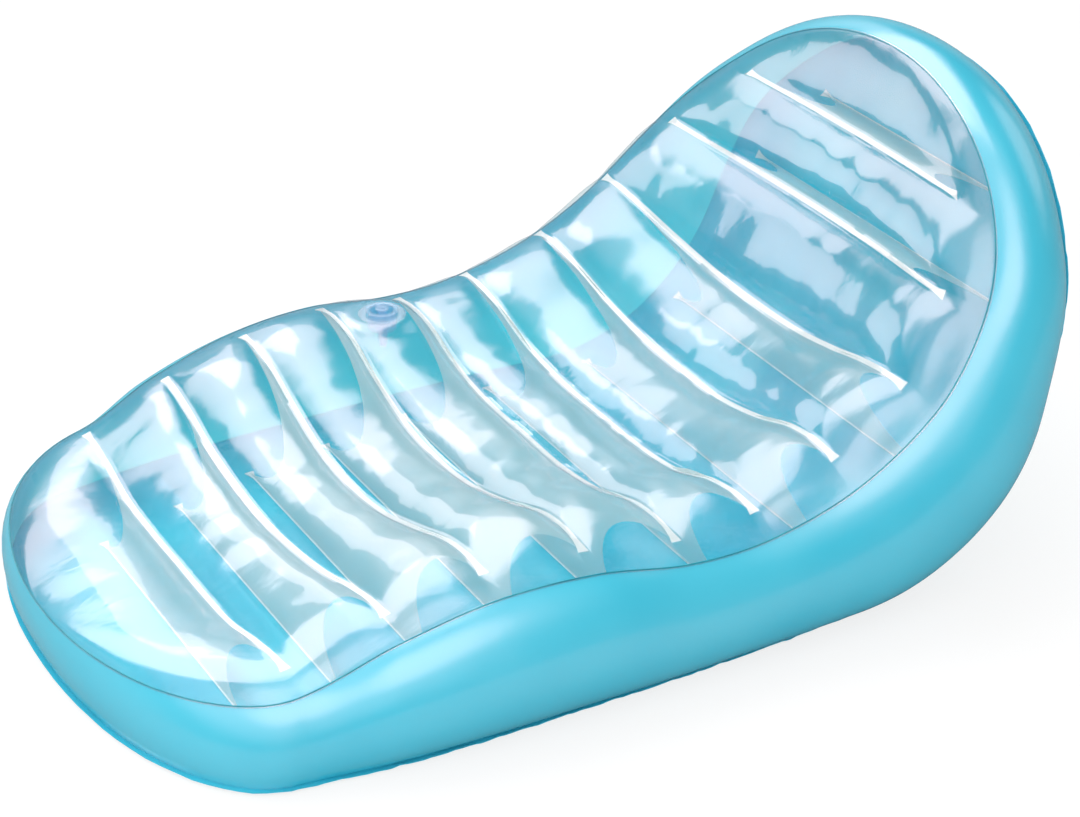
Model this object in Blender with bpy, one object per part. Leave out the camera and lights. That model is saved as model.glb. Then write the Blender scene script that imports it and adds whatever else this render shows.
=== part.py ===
"""Inflatable pool chair: a clear top sheet, a tinted side wall and a tinted base sheet, welded round
their edges, ten webs that tie the top to the base and give the seat its shape, and one valve.

X runs across the chair, +Y towards the backrest, +Z up. The origin is on the floor under the
middle of the whole chair. Everything is drawn at its real size, in metres.
"""
from math import atan2, cos, pi, radians, sin

import bmesh
import bpy
from mathutils import Matrix, Vector

MM = 0.001

# Film and clearance
TOP_FILM = 0.40 * MM
WALL_FILM = 0.40 * MM
BASE_FILM = 0.40 * MM
WEB_FILM = 0.40 * MM
CLEARANCE = 0.30 * MM

# Side view: the base lies flat, turns up round the heel and runs straight up behind the backrest.
# The top seam's head end lies ahead of the base sheet's upper end and above it.
BASE_FLAT = 885 * MM
HEEL_RADIUS = 290 * MM
BACK_STRAIGHT = 353 * MM
BACK_ANGLE = radians(70)
BASE_START = -4 * MM
HEAD_AHEAD = 103.3 * MM
HEAD_ABOVE = 29 * MM

# Plan view, seam to seam
TOP_WIDTH = 784 * MM
BASE_WIDTH = 784 * MM

# Section of the seat: the webs hold the middle down and the film crowns between them
SECTION_HEIGHT = 40 * MM
CROWN_MIDDLE = 24 * MM
CROWN_SIDE = 14 * MM
BASE_CROWN = 8 * MM
BASE_SEAM_LIFT = 4 * MM

# Seams and weld bars
SEAM_LAP = 9 * MM
EDGE_DROP = 1.2 * MM
BASE_FIN = 9 * MM
WELD_FLAT = 13 * MM
WELD_WIDTH = 9 * MM
WELD_TAIL = 15 * MM
WELD_DEPTH = 0.9 * MM

# Stations run from the foot seam, 0, over the webs, 1 to 10, to the head seam, 11
WEBS = 10
HEAD = WEBS + 1
HEAD_ROUNDS_FROM = 8
TOP_LINE_SHARES = [(-0.007, 0.166), (0.142, 0.186), (0.242, 0.262), (0.342, 0.312), (0.444, 0.318),
                   (0.546, 0.285), (0.638, 0.290), (0.740, 0.349), (0.832, 0.465), (0.909, 0.639),
                   (0.961, 0.803), (1.000, 1.000)]
BASE_LINE_SHARES = [0.000, 0.0956, 0.1693, 0.241, 0.3156, 0.3963, 0.484, 0.584, 0.6885, 0.8407,
                    0.9184, 1.000]
TOP_WIDTH_SHARES = [0.82, 0.855, 0.898, 0.931, 0.964, 0.990, 1.000, 1.000, 0.985, 0.965, 0.965, 0.975]
BASE_WIDTH_SHARES = [0.88, 0.918, 0.962, 0.978, 0.982, 0.985, 0.976, 0.955, 0.945, 0.948, 0.972, 0.975]
# Height of each web's bar over the side seams, column by column, as shares of SECTION_HEIGHT
SECTION_SHARES = [(0.05, 0.10, 0.20, 0.30, 0.30, 0.20), (-0.20, -0.20, -0.10, 0.28, 0.42, 0.35),
                  (-0.68, -0.55, -0.25, 0.25, 0.43, 0.33), (-1.00, -0.80, -0.25, 0.35, 0.43, 0.28),
                  (-0.98, -0.80, -0.25, 0.43, 0.48, 0.28), (-0.48, -0.48, -0.18, 0.45, 0.48, 0.28),
                  (-0.68, -0.65, -0.35, 0.45, 0.62, 0.45), (-0.85, -0.72, -0.15, 0.68, 0.80, 0.52),
                  (-0.80, -0.65, -0.10, 0.60, 0.80, 0.60), (-0.30, -0.20, 0.10, 0.55, 0.70, 0.50),
                  (0.00, 0.05, 0.20, 0.40, 0.45, 0.30), (0.00, 0.05, 0.10, 0.15, 0.15, 0.10)]
BULGE_SHARES = [0.10, 0.20, 0.28, 0.30, 0.30, 0.30, 0.30, 0.30, 0.30, 0.30, 0.27, 0.21]
# Half the length of each web's base weld, as shares of the base sheet's half width
WEB_FOOT_SHARES = [0.592, 0.668, 0.736, 0.779, 0.836, 0.873, 0.880, 0.878, 0.837, 0.702]
BAR_END_SHARES = [0.90, 0.90, 0.905, 0.92, 0.92, 0.92, 0.91, 0.90, 0.86, 0.81]
CROWN_ROW_SHARES = (0.28, 0.72)
BASE_DRAWN_SHARE = 0.22
END_CROWN_SHARE = 0.4
FOOT_ROW_ANGLES = (20, 40, 60, 78)
HEAD_ROW_ANGLES = (38, 27, 17, 8)

# How square the ends are in plan: 2 is a plain ellipse
TOP_ROUNDNESS = 2.0
BASE_ROUNDNESS = 2.1

# Columns across the sheets, as shares of their half widths
HALF_COLUMN_SHARES = (0.24, 0.47, 0.70, 0.84, 0.93)
BASE_EDGE_SHARE = 0.90
HALF_BASE_COLUMN_SHARES = (0.45, BASE_EDGE_SHARE)
WALL_STEPS = 7
ARCH_STEPS = 9
# Control points of the arch that opens each end of a web: shares of the bar's half length and height
ARCH_UPPER_SHARES = (0.52, 0.91)
ARCH_LOWER_SHARES = (0.38, 0.18)

# Valve, set in the film over the far shoulder between webs 4 and 5
VALVE_STATION = 4.46
VALVE_SHARE = -0.72
FLANGE_RADIUS = 31.5 * MM
FLANGE_DEPTH = 1.2 * MM
CUP_RADIUS = 20.5 * MM
CUP_WALL = 1.6 * MM
CUP_DEPTH = 22 * MM
CUP_TAPER = 2.0 * MM
CUP_RIM = 3.0 * MM
LIP_OVERHANG = 1.5 * MM
LIP_DEPTH = 1.5 * MM
PLUG_WALL = 1.6 * MM
PLUG_RECESS = 12 * MM
PLUG_DEPTH = 18 * MM
TUBE_BORE = 4.6 * MM
TUBE_WALL = 1.6 * MM
SEAT_DEPTH = 24 * MM
SEAT_BORE = 3.2 * MM
SEAT_THICKNESS = 1.2 * MM
CONE_BORE = 6.5 * MM
CONE_DEPTH = 50 * MM
CONE_TIP_BORE = 3.0 * MM
CONE_WALL = 1.2 * MM
CAP_RADIUS = 9 * MM
CAP_THICKNESS = 1.6 * MM
CAP_PIN_LENGTH = 5 * MM
CAP_PIN_TAPER = 1.0 * MM
STRAP_WIDTH = 5 * MM
STRAP_THICKNESS = 1.2 * MM
FLAP_RADIUS = 4.7 * MM
FLAP_THICKNESS = 0.5 * MM
FLAP_TAB_WIDTH = 3 * MM
FLANGE_PATCH = 85 * MM
CUP_STRAIGHT = 6 * MM
ROUND_STEPS = 32
STRAP_END_STEPS = 6
SHARP_ANGLE = radians(30)
MERGE_DISTANCE = 0.001 * MM


def smooth(values, t):
    """A Catmull-Rom curve through one value for each station."""
    last = len(values) - 1
    i = min(int(t), last - 1)
    f = t - i
    a, b = values[i], values[i + 1]
    before = values[i - 1] if i > 0 else 2 * a - b
    after = values[i + 2] if i + 2 <= last else 2 * b - a
    bend = 2 * before - 5 * a + 4 * b - after
    twist = 3 * a - before - 3 * b + after
    return 0.5 * (2 * a + (b - before) * f + bend * f ** 2 + twist * f ** 3)


def base_line(t):
    """The base sheet seen from the side: flat, then the heel's arc, then the straight back."""
    heel = HEEL_RADIUS * BACK_ANGLE
    s = smooth(BASE_LINE_SHARES, t) * (BASE_FLAT + heel + BACK_STRAIGHT)
    if s <= BASE_FLAT:
        return Vector((0, BASE_START + s, 0))
    turn = min(s - BASE_FLAT, heel) / HEEL_RADIUS
    up = max(s - BASE_FLAT - heel, 0)
    y = BASE_START + BASE_FLAT + HEEL_RADIUS * sin(turn) + up * cos(BACK_ANGLE)
    return Vector((0, y, HEEL_RADIUS * (1 - cos(turn)) + up * sin(BACK_ANGLE)))


def seam_line(t):
    """The top seam seen from the side, from over the base's foot to the head."""
    end = base_line(HEAD)
    reach, height = end.y - HEAD_AHEAD, end.z + HEAD_ABOVE
    places = [Vector((0, run * reach, rise * height)) for run, rise in TOP_LINE_SHARES]
    return smooth(places, t)


def base_normal(t):
    """The direction from the base sheet into the chair, square to the sheet."""
    heel = HEEL_RADIUS * BACK_ANGLE
    s = smooth(BASE_LINE_SHARES, t) * (BASE_FLAT + heel + BACK_STRAIGHT)
    turn = min(max(s - BASE_FLAT, 0), heel) / HEEL_RADIUS
    return Vector((0, -sin(turn), cos(turn)))


def rise(t):
    """The direction from the base to the top at a station, which each web follows."""
    return (seam_line(t) - base_line(t)).normalized()


def end_round(t, roundness):
    """How wide the chair is there, as a share: 1 between its rounded ends, 0 at each end."""
    past = 1 - t if t < 1 else max(t - HEAD_ROUNDS_FROM, 0) / (HEAD - HEAD_ROUNDS_FROM)
    return max(1 - past ** roundness, 0) ** (1 / roundness)


def half_width(t):
    return TOP_WIDTH / 2 * smooth(TOP_WIDTH_SHARES, t) * end_round(t, TOP_ROUNDNESS)


def base_half_width(t):
    return BASE_WIDTH / 2 * smooth(BASE_WIDTH_SHARES, t) * end_round(t, BASE_ROUNDNESS)


def weld_reach(i):
    """Half the width of the flat strip over a web, in stations."""
    return WELD_FLAT / (seam_line(i + 1) - seam_line(i - 1)).length


def chamber_place(t):
    """Where a station lies in its chamber: 0 and 1 at the welds, or at an end's seam."""
    i = min(int(t), HEAD - 1)
    low = i + weld_reach(i) if i > 0 else 0
    high = i + 1 - weld_reach(i + 1) if i + 1 < HEAD else HEAD
    if t <= low or t >= high:
        return 0
    return (t - low) / (high - low)


def section_height(t, u):
    """How high the sheet stands over its side seams at a web's section, before it crowns."""
    across = abs(u)
    if across >= 1:
        return 0
    shares = (0, *HALF_COLUMN_SHARES, 1)
    k = max(i for i, share in enumerate(shares) if share <= across)
    heights = [smooth([row[j] for row in SECTION_SHARES], t) for j in range(len(SECTION_SHARES[0]))] + [0]
    f = (across - shares[k]) / (shares[k + 1] - shares[k])
    return SECTION_HEIGHT * (heights[k] * (1 - f) + heights[k + 1] * f)


def top_point(t, u):
    """The outer face of the top sheet at station t, share u of the half width."""
    height = section_height(t, u) * end_round(t, TOP_ROUNDNESS)
    place = chamber_place(t)
    crown = CROWN_SIDE + (CROWN_MIDDLE - CROWN_SIDE) * (1 - u ** 2)
    if t < 1 or t > WEBS:
        crown *= END_CROWN_SHARE
    height += crown * 4 * place * (1 - place) * (1 - u ** 4)
    return seam_line(t) + rise(t) * height + Vector((u * half_width(t), 0, 0))


def drawn_up(t):
    """How far a web draws the base sheet up: 1 at its weld, 0 from a share of a chamber away."""
    web = min(max(round(t), 1), WEBS)
    away = max(abs(t - web) - weld_reach(web), 0)
    return max(1 - away / BASE_DRAWN_SHARE, 0)


def base_point(t, u):
    """The outer face of the base sheet, drawn up at the welds and flat on the floor between them."""
    inside = min(1, (1 - abs(u)) / (1 - BASE_EDGE_SHARE))
    lift = BASE_CROWN * drawn_up(t) * inside + BASE_SEAM_LIFT * (1 - inside)
    return base_line(t) + rise(t) * lift + Vector((u * base_half_width(t), 0, 0))


def row_stations():
    """Every cross row of the sheets: closer at the rounded ends, in pairs at each weld."""
    rows = [1 - cos(radians(angle)) for angle in FOOT_ROW_ANGLES]
    for web in range(1, WEBS + 1):
        rows += [web - weld_reach(web), web + weld_reach(web)]
        if web < WEBS:
            rows += [web + share for share in CROWN_ROW_SHARES]
    head_length = HEAD - HEAD_ROUNDS_FROM
    rows += [HEAD_ROUNDS_FROM + head_length * cos(radians(angle)) for angle in HEAD_ROW_ANGLES]
    return rows


def both_sides(half_shares):
    """Column shares from -1 to 1."""
    right = [0, *half_shares, 1]
    return [-share for share in reversed(right[1:])] + right


def rim_stations():
    """The stations round the edge: the foot, up the right side, the head, down the left side."""
    rows = row_stations()
    return [(0, 0)] + [(t, 1) for t in rows] + [(HEAD, 0)] + [(t, -1) for t in reversed(rows)]


def top_seam(t, side):
    return seam_line(t) + Vector((side * half_width(t), 0, 0))


def base_seam(t, side):
    return base_line(t) + rise(t) * BASE_SEAM_LIFT + Vector((side * base_half_width(t), 0, 0))


class Rim:
    """The side wall's arc at one station of the edge."""

    def __init__(self, stations, k):
        t, side = stations[k]
        ahead, behind = stations[(k + 1) % len(stations)], stations[k - 1]
        self.top, self.base = top_seam(t, side), base_seam(t, side)
        along = top_seam(*ahead) + base_seam(*ahead) - top_seam(*behind) - base_seam(*behind)
        chord = self.top - self.base
        self.up = chord.normalized()
        self.out = along.cross(self.up).normalized()
        bulge = chord.length * smooth(BULGE_SHARES, t)
        self.radius = (chord.length ** 2 / 4 + bulge ** 2) / (2 * bulge)
        self.centre = (self.top + self.base) / 2 + self.out * (bulge - self.radius)
        self.half_angle = atan2(chord.length / 2, self.radius - bulge)
        self.inside = base_normal(t)
        base_along = base_seam(*ahead) - base_seam(*behind)
        self.level = base_along.cross(self.inside).normalized()

    def arc(self, step, inset=0):
        """A point of the arc, from the top seam at step 0 to the base seam at the last step."""
        angle = self.half_angle * (1 - 2 * step / WALL_STEPS)
        return self.centre + (self.out * cos(angle) + self.up * sin(angle)) * (self.radius - inset)

    def down_wall(self, drop, inset):
        start = self.arc(0, inset)
        return start + (self.arc(1, inset) - start).normalized() * drop

    def edge(self, inset):
        """The wall's own upper edge, just under the fold of the top sheet."""
        return self.down_wall(EDGE_DROP, inset)

    def lap(self, inset=0):
        """Where the top sheet's edge ends on the wall."""
        return self.down_wall(SEAM_LAP, inset)

    def fin(self):
        """The edge of the base sheet's welded fin."""
        return self.base + self.level * BASE_FIN

    def wall_section(self):
        """The wall's closed section, as two lists: down its outer face and out along the fin, and
        the way back inside."""
        outer = TOP_FILM + CLEARANCE
        inner = outer + WALL_FILM
        fold = self.base + self.inside * (BASE_FILM + CLEARANCE + WALL_FILM)
        tip = fold + self.level * BASE_FIN
        down = fold - self.arc(WALL_STEPS - 1, outer)
        inward = self.inside - down * self.inside.dot(down) / down.length_squared
        inward = inward.normalized() * WALL_FILM
        outside = [self.edge(outer), self.lap(outer)]
        outside += [self.arc(step, outer) for step in range(1, WALL_STEPS)] + [fold, tip]
        back = [tip - self.inside * WALL_FILM, fold - self.inside * WALL_FILM]
        back += [fold - self.level * WALL_FILM, fold + inward]
        back += [self.arc(step, inner) for step in range(WALL_STEPS - 1, 0, -1)]
        return outside, back + [self.lap(inner), self.edge(inner)]


def material(name, colour, roughness, transmission=0):
    made = bpy.data.materials.new(name)
    made.use_nodes = True
    shader = made.node_tree.nodes["Principled BSDF"]
    shader.inputs["Base Color"].default_value = (*colour, 1)
    shader.inputs["Roughness"].default_value = roughness
    shader.inputs["Metallic"].default_value = 0
    shader.inputs["Transmission Weight"].default_value = transmission
    shader.inputs["IOR"].default_value = 1.53
    return made


def mesh_object(name, points, faces, finish):
    mesh = bpy.data.meshes.new(name)
    mesh.from_pydata(points, [], faces)
    mesh.materials.append(finish)
    made = bpy.data.objects.new(name, mesh)
    bpy.context.scene.collection.objects.link(made)
    return made


def as_cutter(tool):
    tool.hide_render = True
    tool.display_type = "WIRE"


def boolean(target, tool, operation):
    as_cutter(tool)
    cut = target.modifiers.new(operation.title(), "BOOLEAN")
    cut.operation = operation
    cut.object = tool


def strip(first, second, other_way=False):
    """Triangles between two rows of vertex numbers, all split the same way or all the other way."""
    faces = []
    for a, b, c, d in zip(first, first[1:], second[1:], second):
        faces += [(a, b, d), (b, c, d)] if other_way else [(a, b, c), (a, c, d)]
    return faces


def lap_faces(inner, outer):
    """The lap's strip, split the same way as the wall under it."""
    return [face[::-1] for face in strip(inner, outer)]


def fin_faces(inner, outer):
    """The fin's strip, split the same way as the wall's fin on it."""
    return strip(outer, inner, other_way=True)


def sheet_mesh(point, columns, edge, edge_faces):
    """A sheet's outer face: cross rows between a vertex at each end, and a strip round the edge."""
    rows = row_stations()
    points = [point(0, 0)]
    table = []
    for t in rows:
        table.append(list(range(len(points), len(points) + len(columns))))
        points += [point(t, u) for u in columns]
    head = len(points)
    points.append(point(HEAD, 0))
    faces = [(0, b, a) for a, b in zip(table[0], table[0][1:])]
    for first, second in zip(table, table[1:]):
        faces += strip(first, second)
    faces += [(a, b, head) for a, b in zip(table[-1], table[-1][1:])]
    inner = [0] + [row[-1] for row in table] + [head] + [row[0] for row in reversed(table)]
    outer = list(range(len(points), len(points) + len(inner)))
    points += edge
    return points, faces + edge_faces(inner + inner[:1], outer + outer[:1])


def film_normals(points, faces):
    """The sheet's outward normal at each vertex."""
    normals = [Vector() for _ in points]
    for a, b, c in faces:
        face = (points[b] - points[a]).cross(points[c] - points[a])
        for corner in (a, b, c):
            normals[corner] += face
    return [normal.normalized() for normal in normals]


def thicken(sheet, depth):
    shell = sheet.modifiers.new("Film", "SOLIDIFY")
    shell.thickness = depth
    shell.offset = -1
    shell.use_even_offset = True


def make_side_wall(rims, finish):
    """The wall's two faces are split along the same diagonals, so that the film keeps its thickness."""
    sections = [rim.wall_section() for rim in rims]
    outer_count = len(sections[0][0])
    count = outer_count + len(sections[0][1])
    points = [point for outside, back in sections for point in outside + back]
    faces = []
    for k in range(len(sections)):
        first = [k * count + j for j in range(count)]
        second = [(k + 1) % len(sections) * count + j for j in range(count)]
        faces += strip(first[:outer_count], second[:outer_count])
        tip = outer_count - 1
        faces += strip(first[tip:] + first[:1], second[tip:] + second[:1], other_way=True)
    wall = mesh_object("side_wall", points, faces, finish)
    face_outwards(wall)
    return wall


def face_outwards(made):
    shape = bmesh.new()
    shape.from_mesh(made.data)
    bmesh.ops.recalc_face_normals(shape, faces=shape.faces)
    shape.to_mesh(made.data)
    shape.free()


def weld_strip(name, point, web, columns, depth, inwards, finish):
    """The bar where a web is welded to a sheet, laid against the sheet's inner face: inwards is -1
    under the top sheet and 1 over the base."""
    reach = weld_reach(web)
    corners = []
    for place, u in enumerate(columns):
        before, after = point(web - reach, u), point(web + reach, u)
        left, right = columns[max(place - 1, 0)], columns[min(place + 1, len(columns) - 1)]
        across = point(web, right) - point(web, left)
        inward = across.cross(after - before).normalized() * inwards
        middle = (before + after) / 2
        width = WELD_TAIL if place in (0, len(columns) - 1) else WELD_WIDTH
        half = (after - before).normalized() * width / 2
        for inset in (depth, depth + WELD_DEPTH):
            corners += [middle - half + inward * inset, middle + half + inward * inset]
    ring = [(0, 1, 3, 2)]
    for k in range(len(columns) - 1):
        a, b = 4 * k, 4 * k + 4
        for p, q in ((0, 1), (1, 3), (3, 2), (2, 0)):
            ring.append((a + p, a + q, b + q, b + p))
    end = 4 * (len(columns) - 1)
    ring.append((end, end + 1, end + 3, end + 2))
    bar = mesh_object(name, corners, ring, finish)
    face_outwards(bar)
    return bar


def arch(start, end, height_at_start, height_at_end):
    """The concave free end of a web, a cubic curve from the bar's end down to the base."""
    tall = height_at_start - height_at_end
    points = [(start, height_at_start),
              (start * ARCH_UPPER_SHARES[0], height_at_end + tall * ARCH_UPPER_SHARES[1]),
              (start * ARCH_LOWER_SHARES[0], height_at_end + tall * ARCH_LOWER_SHARES[1]),
              (end, height_at_end)]
    curve = []
    for step in range(ARCH_STEPS + 1):
        f = step / ARCH_STEPS
        weights = ((1 - f) ** 3, 3 * f * (1 - f) ** 2, 3 * f ** 2 * (1 - f), f ** 3)
        curve.append(tuple(sum(w * p[axis] for w, p in zip(weights, points)) for axis in (0, 1)))
    return curve


def make_web(web, finish):
    """One web: a film wall with arched ends between its two weld bars."""
    name = f"web_{web:02d}"
    origin, up = base_line(web), rise(web)
    reach = weld_reach(web)

    def height(point, u):
        return ((point(web - reach, u) + point(web + reach, u)) / 2 - origin).dot(up)

    bar_share = BAR_END_SHARES[web - 1]
    half_columns = [u for u in HALF_COLUMN_SHARES if u < bar_share] + [bar_share]
    columns = [u for u in both_sides(half_columns) if abs(u) < 1]
    foot_share = WEB_FOOT_SHARES[web - 1]
    base_columns = [-foot_share, 0, foot_share]
    top_drop = TOP_FILM + CLEARANCE + WELD_DEPTH / 2
    low = BASE_FILM + CLEARANCE + WELD_DEPTH / 2
    bar_end = bar_share * half_width(web)
    foot_end = foot_share * base_half_width(web)
    top_edge = [(u * half_width(web), height(top_point, u) - top_drop) for u in columns]
    opening = arch(bar_end, foot_end, top_edge[-1][1], height(base_point, foot_share) + low)
    outline = top_edge + opening[1:-1]
    outline += [(x, height(base_point, x / base_half_width(web)) + low) for x in (foot_end, 0, -foot_end)]
    outline += [(-x, h) for x, h in reversed(opening[1:-1])]
    normal = Vector((1, 0, 0)).cross(up) * WEB_FILM / 2
    count = len(outline)
    points = [origin + Vector((x, 0, 0)) + up * h + side for side in (normal, -normal) for x, h in outline]
    faces = [tuple(range(count)), tuple(range(2 * count - 1, count - 1, -1))]
    faces += [(k, (k + 1) % count, (k + 1) % count + count, k + count) for k in range(count)]
    plate = mesh_object(name, points, faces, finish)
    face_outwards(plate)
    bar = weld_strip(name + "_top_bar", top_point, web, columns, TOP_FILM + CLEARANCE, -1, finish)
    boolean(plate, bar, "UNION")
    foot = weld_strip(name + "_base_bar", base_point, web, base_columns, BASE_FILM + CLEARANCE, 1, finish)
    boolean(plate, foot, "UNION")
    return plate


def turned(name, profile, finish):
    """A closed profile of (radius, height) points turned about the Z axis."""
    shape = bmesh.new()
    ring = [shape.verts.new((radius, 0, height)) for radius, height in profile]
    edges = [shape.edges.new(pair) for pair in zip(ring, ring[1:] + ring[:1])]
    bmesh.ops.spin(shape, geom=ring + edges, cent=(0, 0, 0), axis=(0, 0, 1), angle=2 * pi,
                   steps=ROUND_STEPS, use_merge=True, use_duplicate=False)
    bmesh.ops.remove_doubles(shape, verts=shape.verts, dist=MERGE_DISTANCE)
    bmesh.ops.recalc_face_normals(shape, faces=shape.faces)
    mesh = bpy.data.meshes.new(name)
    shape.to_mesh(mesh)
    shape.free()
    mesh.materials.append(finish)
    mesh.shade_smooth()
    mesh.set_sharp_from_angle(angle=SHARP_ANGLE)
    made = bpy.data.objects.new(name, mesh)
    bpy.context.scene.collection.objects.link(made)
    return made


def extruded(name, outline, width, finish):
    """A closed (x, z) outline, extruded along Y by half the width to each side."""
    count = len(outline)
    points = [Vector((x, y, z)) for y in (-width / 2, width / 2) for x, z in outline]
    faces = [tuple(range(count)), tuple(range(2 * count - 1, count - 1, -1))]
    faces += [(k, (k + 1) % count, (k + 1) % count + count, k + count) for k in range(count)]
    made = mesh_object(name, points, faces, finish)
    face_outwards(made)
    return made


def tongue(start, hinge, middle, thickness):
    """The side of a strap that runs from x = start to a rounded end about its hinge at x = hinge."""
    half = thickness / 2
    outline = [(start, middle - half), (start, middle + half)]
    for step in range(STRAP_END_STEPS + 1):
        angle = pi / 2 + pi * step / STRAP_END_STEPS
        outline.append((hinge + half * cos(angle), middle + half * sin(angle)))
    return outline


def place_on_hinge(made, place, hinge):
    """Put the object at the place, with its own origin on its hinge."""
    made.data.transform(Matrix.Translation(-hinge))
    made.location = place + hinge


def bore_radius(height):
    """The tapered bore of the valve's cup."""
    return CUP_RADIUS - CUP_WALL - CUP_TAPER * (CUP_RIM - height) / (CUP_RIM + CUP_DEPTH)


def cylinder(name, radius, half_height, finish):
    corners = [(0, half_height), (radius, half_height), (radius, -half_height), (0, -half_height)]
    return turned(name, corners, finish)


def make_valve_base(top, points, faces, place, finish):
    """The flange, a round patch that follows the film's inner face, with the cup that holds the plug."""
    normals = film_normals(points, faces)
    near = [k for k, point in enumerate(points) if (point - place).length < FLANGE_PATCH]
    renumber = {old: new for new, old in enumerate(near)}
    under = [points[k] - normals[k] * (TOP_FILM + CLEARANCE) - place for k in near]
    patch = [tuple(renumber[k] for k in face) for face in faces if all(k in renumber for k in face)]
    base = mesh_object("valve_base", under, patch, finish)
    thicken(base, FLANGE_DEPTH)
    edge = cylinder("flange_edge", FLANGE_RADIUS, CUP_DEPTH, finish)
    throat = cylinder("flange_throat", CUP_RADIUS - CUP_WALL / 2, CUP_DEPTH, finish)
    cup = turned("valve_cup", [(bore_radius(CUP_RIM), CUP_RIM), (CUP_RADIUS, CUP_RIM),
                               (CUP_RADIUS, -CUP_STRAIGHT), (CUP_RADIUS - CUP_TAPER, -CUP_DEPTH),
                               (bore_radius(-CUP_DEPTH), -CUP_DEPTH)], finish)
    hole = cylinder("film_hole", CUP_RADIUS + CLEARANCE, CUP_DEPTH, finish)
    for made in (base, edge, throat, cup, hole):
        made.location = place
    boolean(base, edge, "INTERSECT")
    boolean(base, throat, "DIFFERENCE")
    boolean(base, cup, "UNION")
    boolean(top, hole, "DIFFERENCE")


def make_valve_plug(place, finish):
    """The large stopper for letting the air out, with the inflation tube and its cone through it."""
    lip_low = CUP_RIM + CLEARANCE
    lip_top = lip_low + LIP_DEPTH
    lip = CUP_RADIUS + LIP_OVERHANG
    tube = TUBE_BORE + TUBE_WALL
    seat_low = -SEAT_DEPTH - SEAT_THICKNESS
    foot = bore_radius(-PLUG_DEPTH) - CLEARANCE
    recess = foot - PLUG_WALL
    cone = CONE_BORE + CONE_WALL
    plug = turned("valve_plug", [
        (lip, lip_low), (lip, lip_top), (recess, lip_top), (recess, -PLUG_RECESS), (tube, -PLUG_RECESS),
        (tube, lip_top), (TUBE_BORE, lip_top), (TUBE_BORE, -SEAT_DEPTH), (SEAT_BORE, -SEAT_DEPTH),
        (SEAT_BORE, seat_low), (CONE_BORE, seat_low), (CONE_TIP_BORE, -CONE_DEPTH),
        (CONE_TIP_BORE + CONE_WALL, -CONE_DEPTH), (cone, seat_low), (cone, -PLUG_DEPTH),
        (foot, -PLUG_DEPTH), (bore_radius(CUP_RIM) - CLEARANCE, lip_low)], finish)
    plug.location = place
    return lip_top, (recess + lip) / 2, seat_low


def make_inflation_cap(place, plug_top, hinge_radius, finish):
    """The small cap on the inflation tube; its strap turns about its root on the stopper's lip."""
    low = plug_top + CLEARANCE
    top = low + CAP_THICKNESS
    pin = TUBE_BORE - CLEARANCE
    cap = turned("inflation_cap", [
        (0, top), (CAP_RADIUS, top), (CAP_RADIUS, low), (pin, low),
        (pin - CAP_PIN_TAPER, low - CAP_PIN_LENGTH), (0, low - CAP_PIN_LENGTH)], finish)
    hinge = Vector((-hinge_radius, 0, low + STRAP_THICKNESS / 2))
    side = tongue(-CAP_RADIUS / 2, hinge.x, hinge.z, STRAP_THICKNESS)
    strap = extruded("cap_strap", side, STRAP_WIDTH, finish)
    place_on_hinge(cap, place, hinge)
    place_on_hinge(strap, place, hinge)
    boolean(cap, strap, "UNION")


def make_check_flap(place, seat_low, finish):
    """The one-way flap under the tube's seat, which the air inside presses shut."""
    top = seat_low - CLEARANCE
    middle = top - FLAP_THICKNESS / 2
    low = top - FLAP_THICKNESS
    flap = turned("check_flap", [(0, top), (FLAP_RADIUS, top), (FLAP_RADIUS, low), (0, low)], finish)
    slope = (CONE_BORE - CONE_TIP_BORE) / (CONE_DEPTH + seat_low)
    wall = CONE_BORE - slope * (CLEARANCE + FLAP_THICKNESS)
    hinge = Vector((CLEARANCE + FLAP_THICKNESS / 2 - wall, 0, middle))
    side = tongue(-FLAP_RADIUS / 2, hinge.x, middle, FLAP_THICKNESS)
    tab = extruded("flap_tab", side, FLAP_TAB_WIDTH, finish)
    place_on_hinge(flap, place, hinge)
    place_on_hinge(tab, place, hinge)
    boolean(flap, tab, "UNION")


def centre_on_floor(outermost):
    """Move everything so that the origin lies under the middle of the chair."""
    ends = [vertex.co.y for made in outermost for vertex in made.data.vertices]
    middle = (min(ends) + max(ends)) / 2
    for item in bpy.data.objects:
        item.location.y -= middle


def build():
    for item in list(bpy.data.objects):
        bpy.data.objects.remove(item)
    clear = material("clear_film", (0.80, 0.93, 0.97), 0.08, 0.85)
    tinted = material("turquoise_film", (0.06, 0.55, 0.68), 0.22)
    base_tint = material("base_film", (0.02, 0.48, 0.66), 0.25)
    milky = material("milky_film", (0.86, 0.90, 0.90), 0.35, 0.3)
    soft = material("soft_clear_vinyl", (0.72, 0.88, 0.94), 0.20, 0.6)

    stations = rim_stations()
    rims = [Rim(stations, k) for k in range(len(stations))]
    points, faces = sheet_mesh(top_point, both_sides(HALF_COLUMN_SHARES), [rim.lap() for rim in rims],
                               lap_faces)
    top = mesh_object("top_sheet", points, faces, clear)
    thicken(top, TOP_FILM)
    base_columns = both_sides(HALF_BASE_COLUMN_SHARES)
    base_points, base_faces = sheet_mesh(base_point, base_columns, [rim.fin() for rim in rims],
                                         fin_faces)
    base = mesh_object("base_sheet", base_points, [face[::-1] for face in base_faces], base_tint)
    thicken(base, BASE_FILM)
    wall = make_side_wall(rims, tinted)
    for web in range(1, WEBS + 1):
        make_web(web, milky)

    place = top_point(VALVE_STATION, VALVE_SHARE)
    make_valve_base(top, points, faces, place, soft)
    plug_top, hinge_radius, seat_low = make_valve_plug(place, soft)
    make_inflation_cap(place, plug_top, hinge_radius, soft)
    make_check_flap(place, seat_low, soft)
    centre_on_floor([wall, base])


build()
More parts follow.
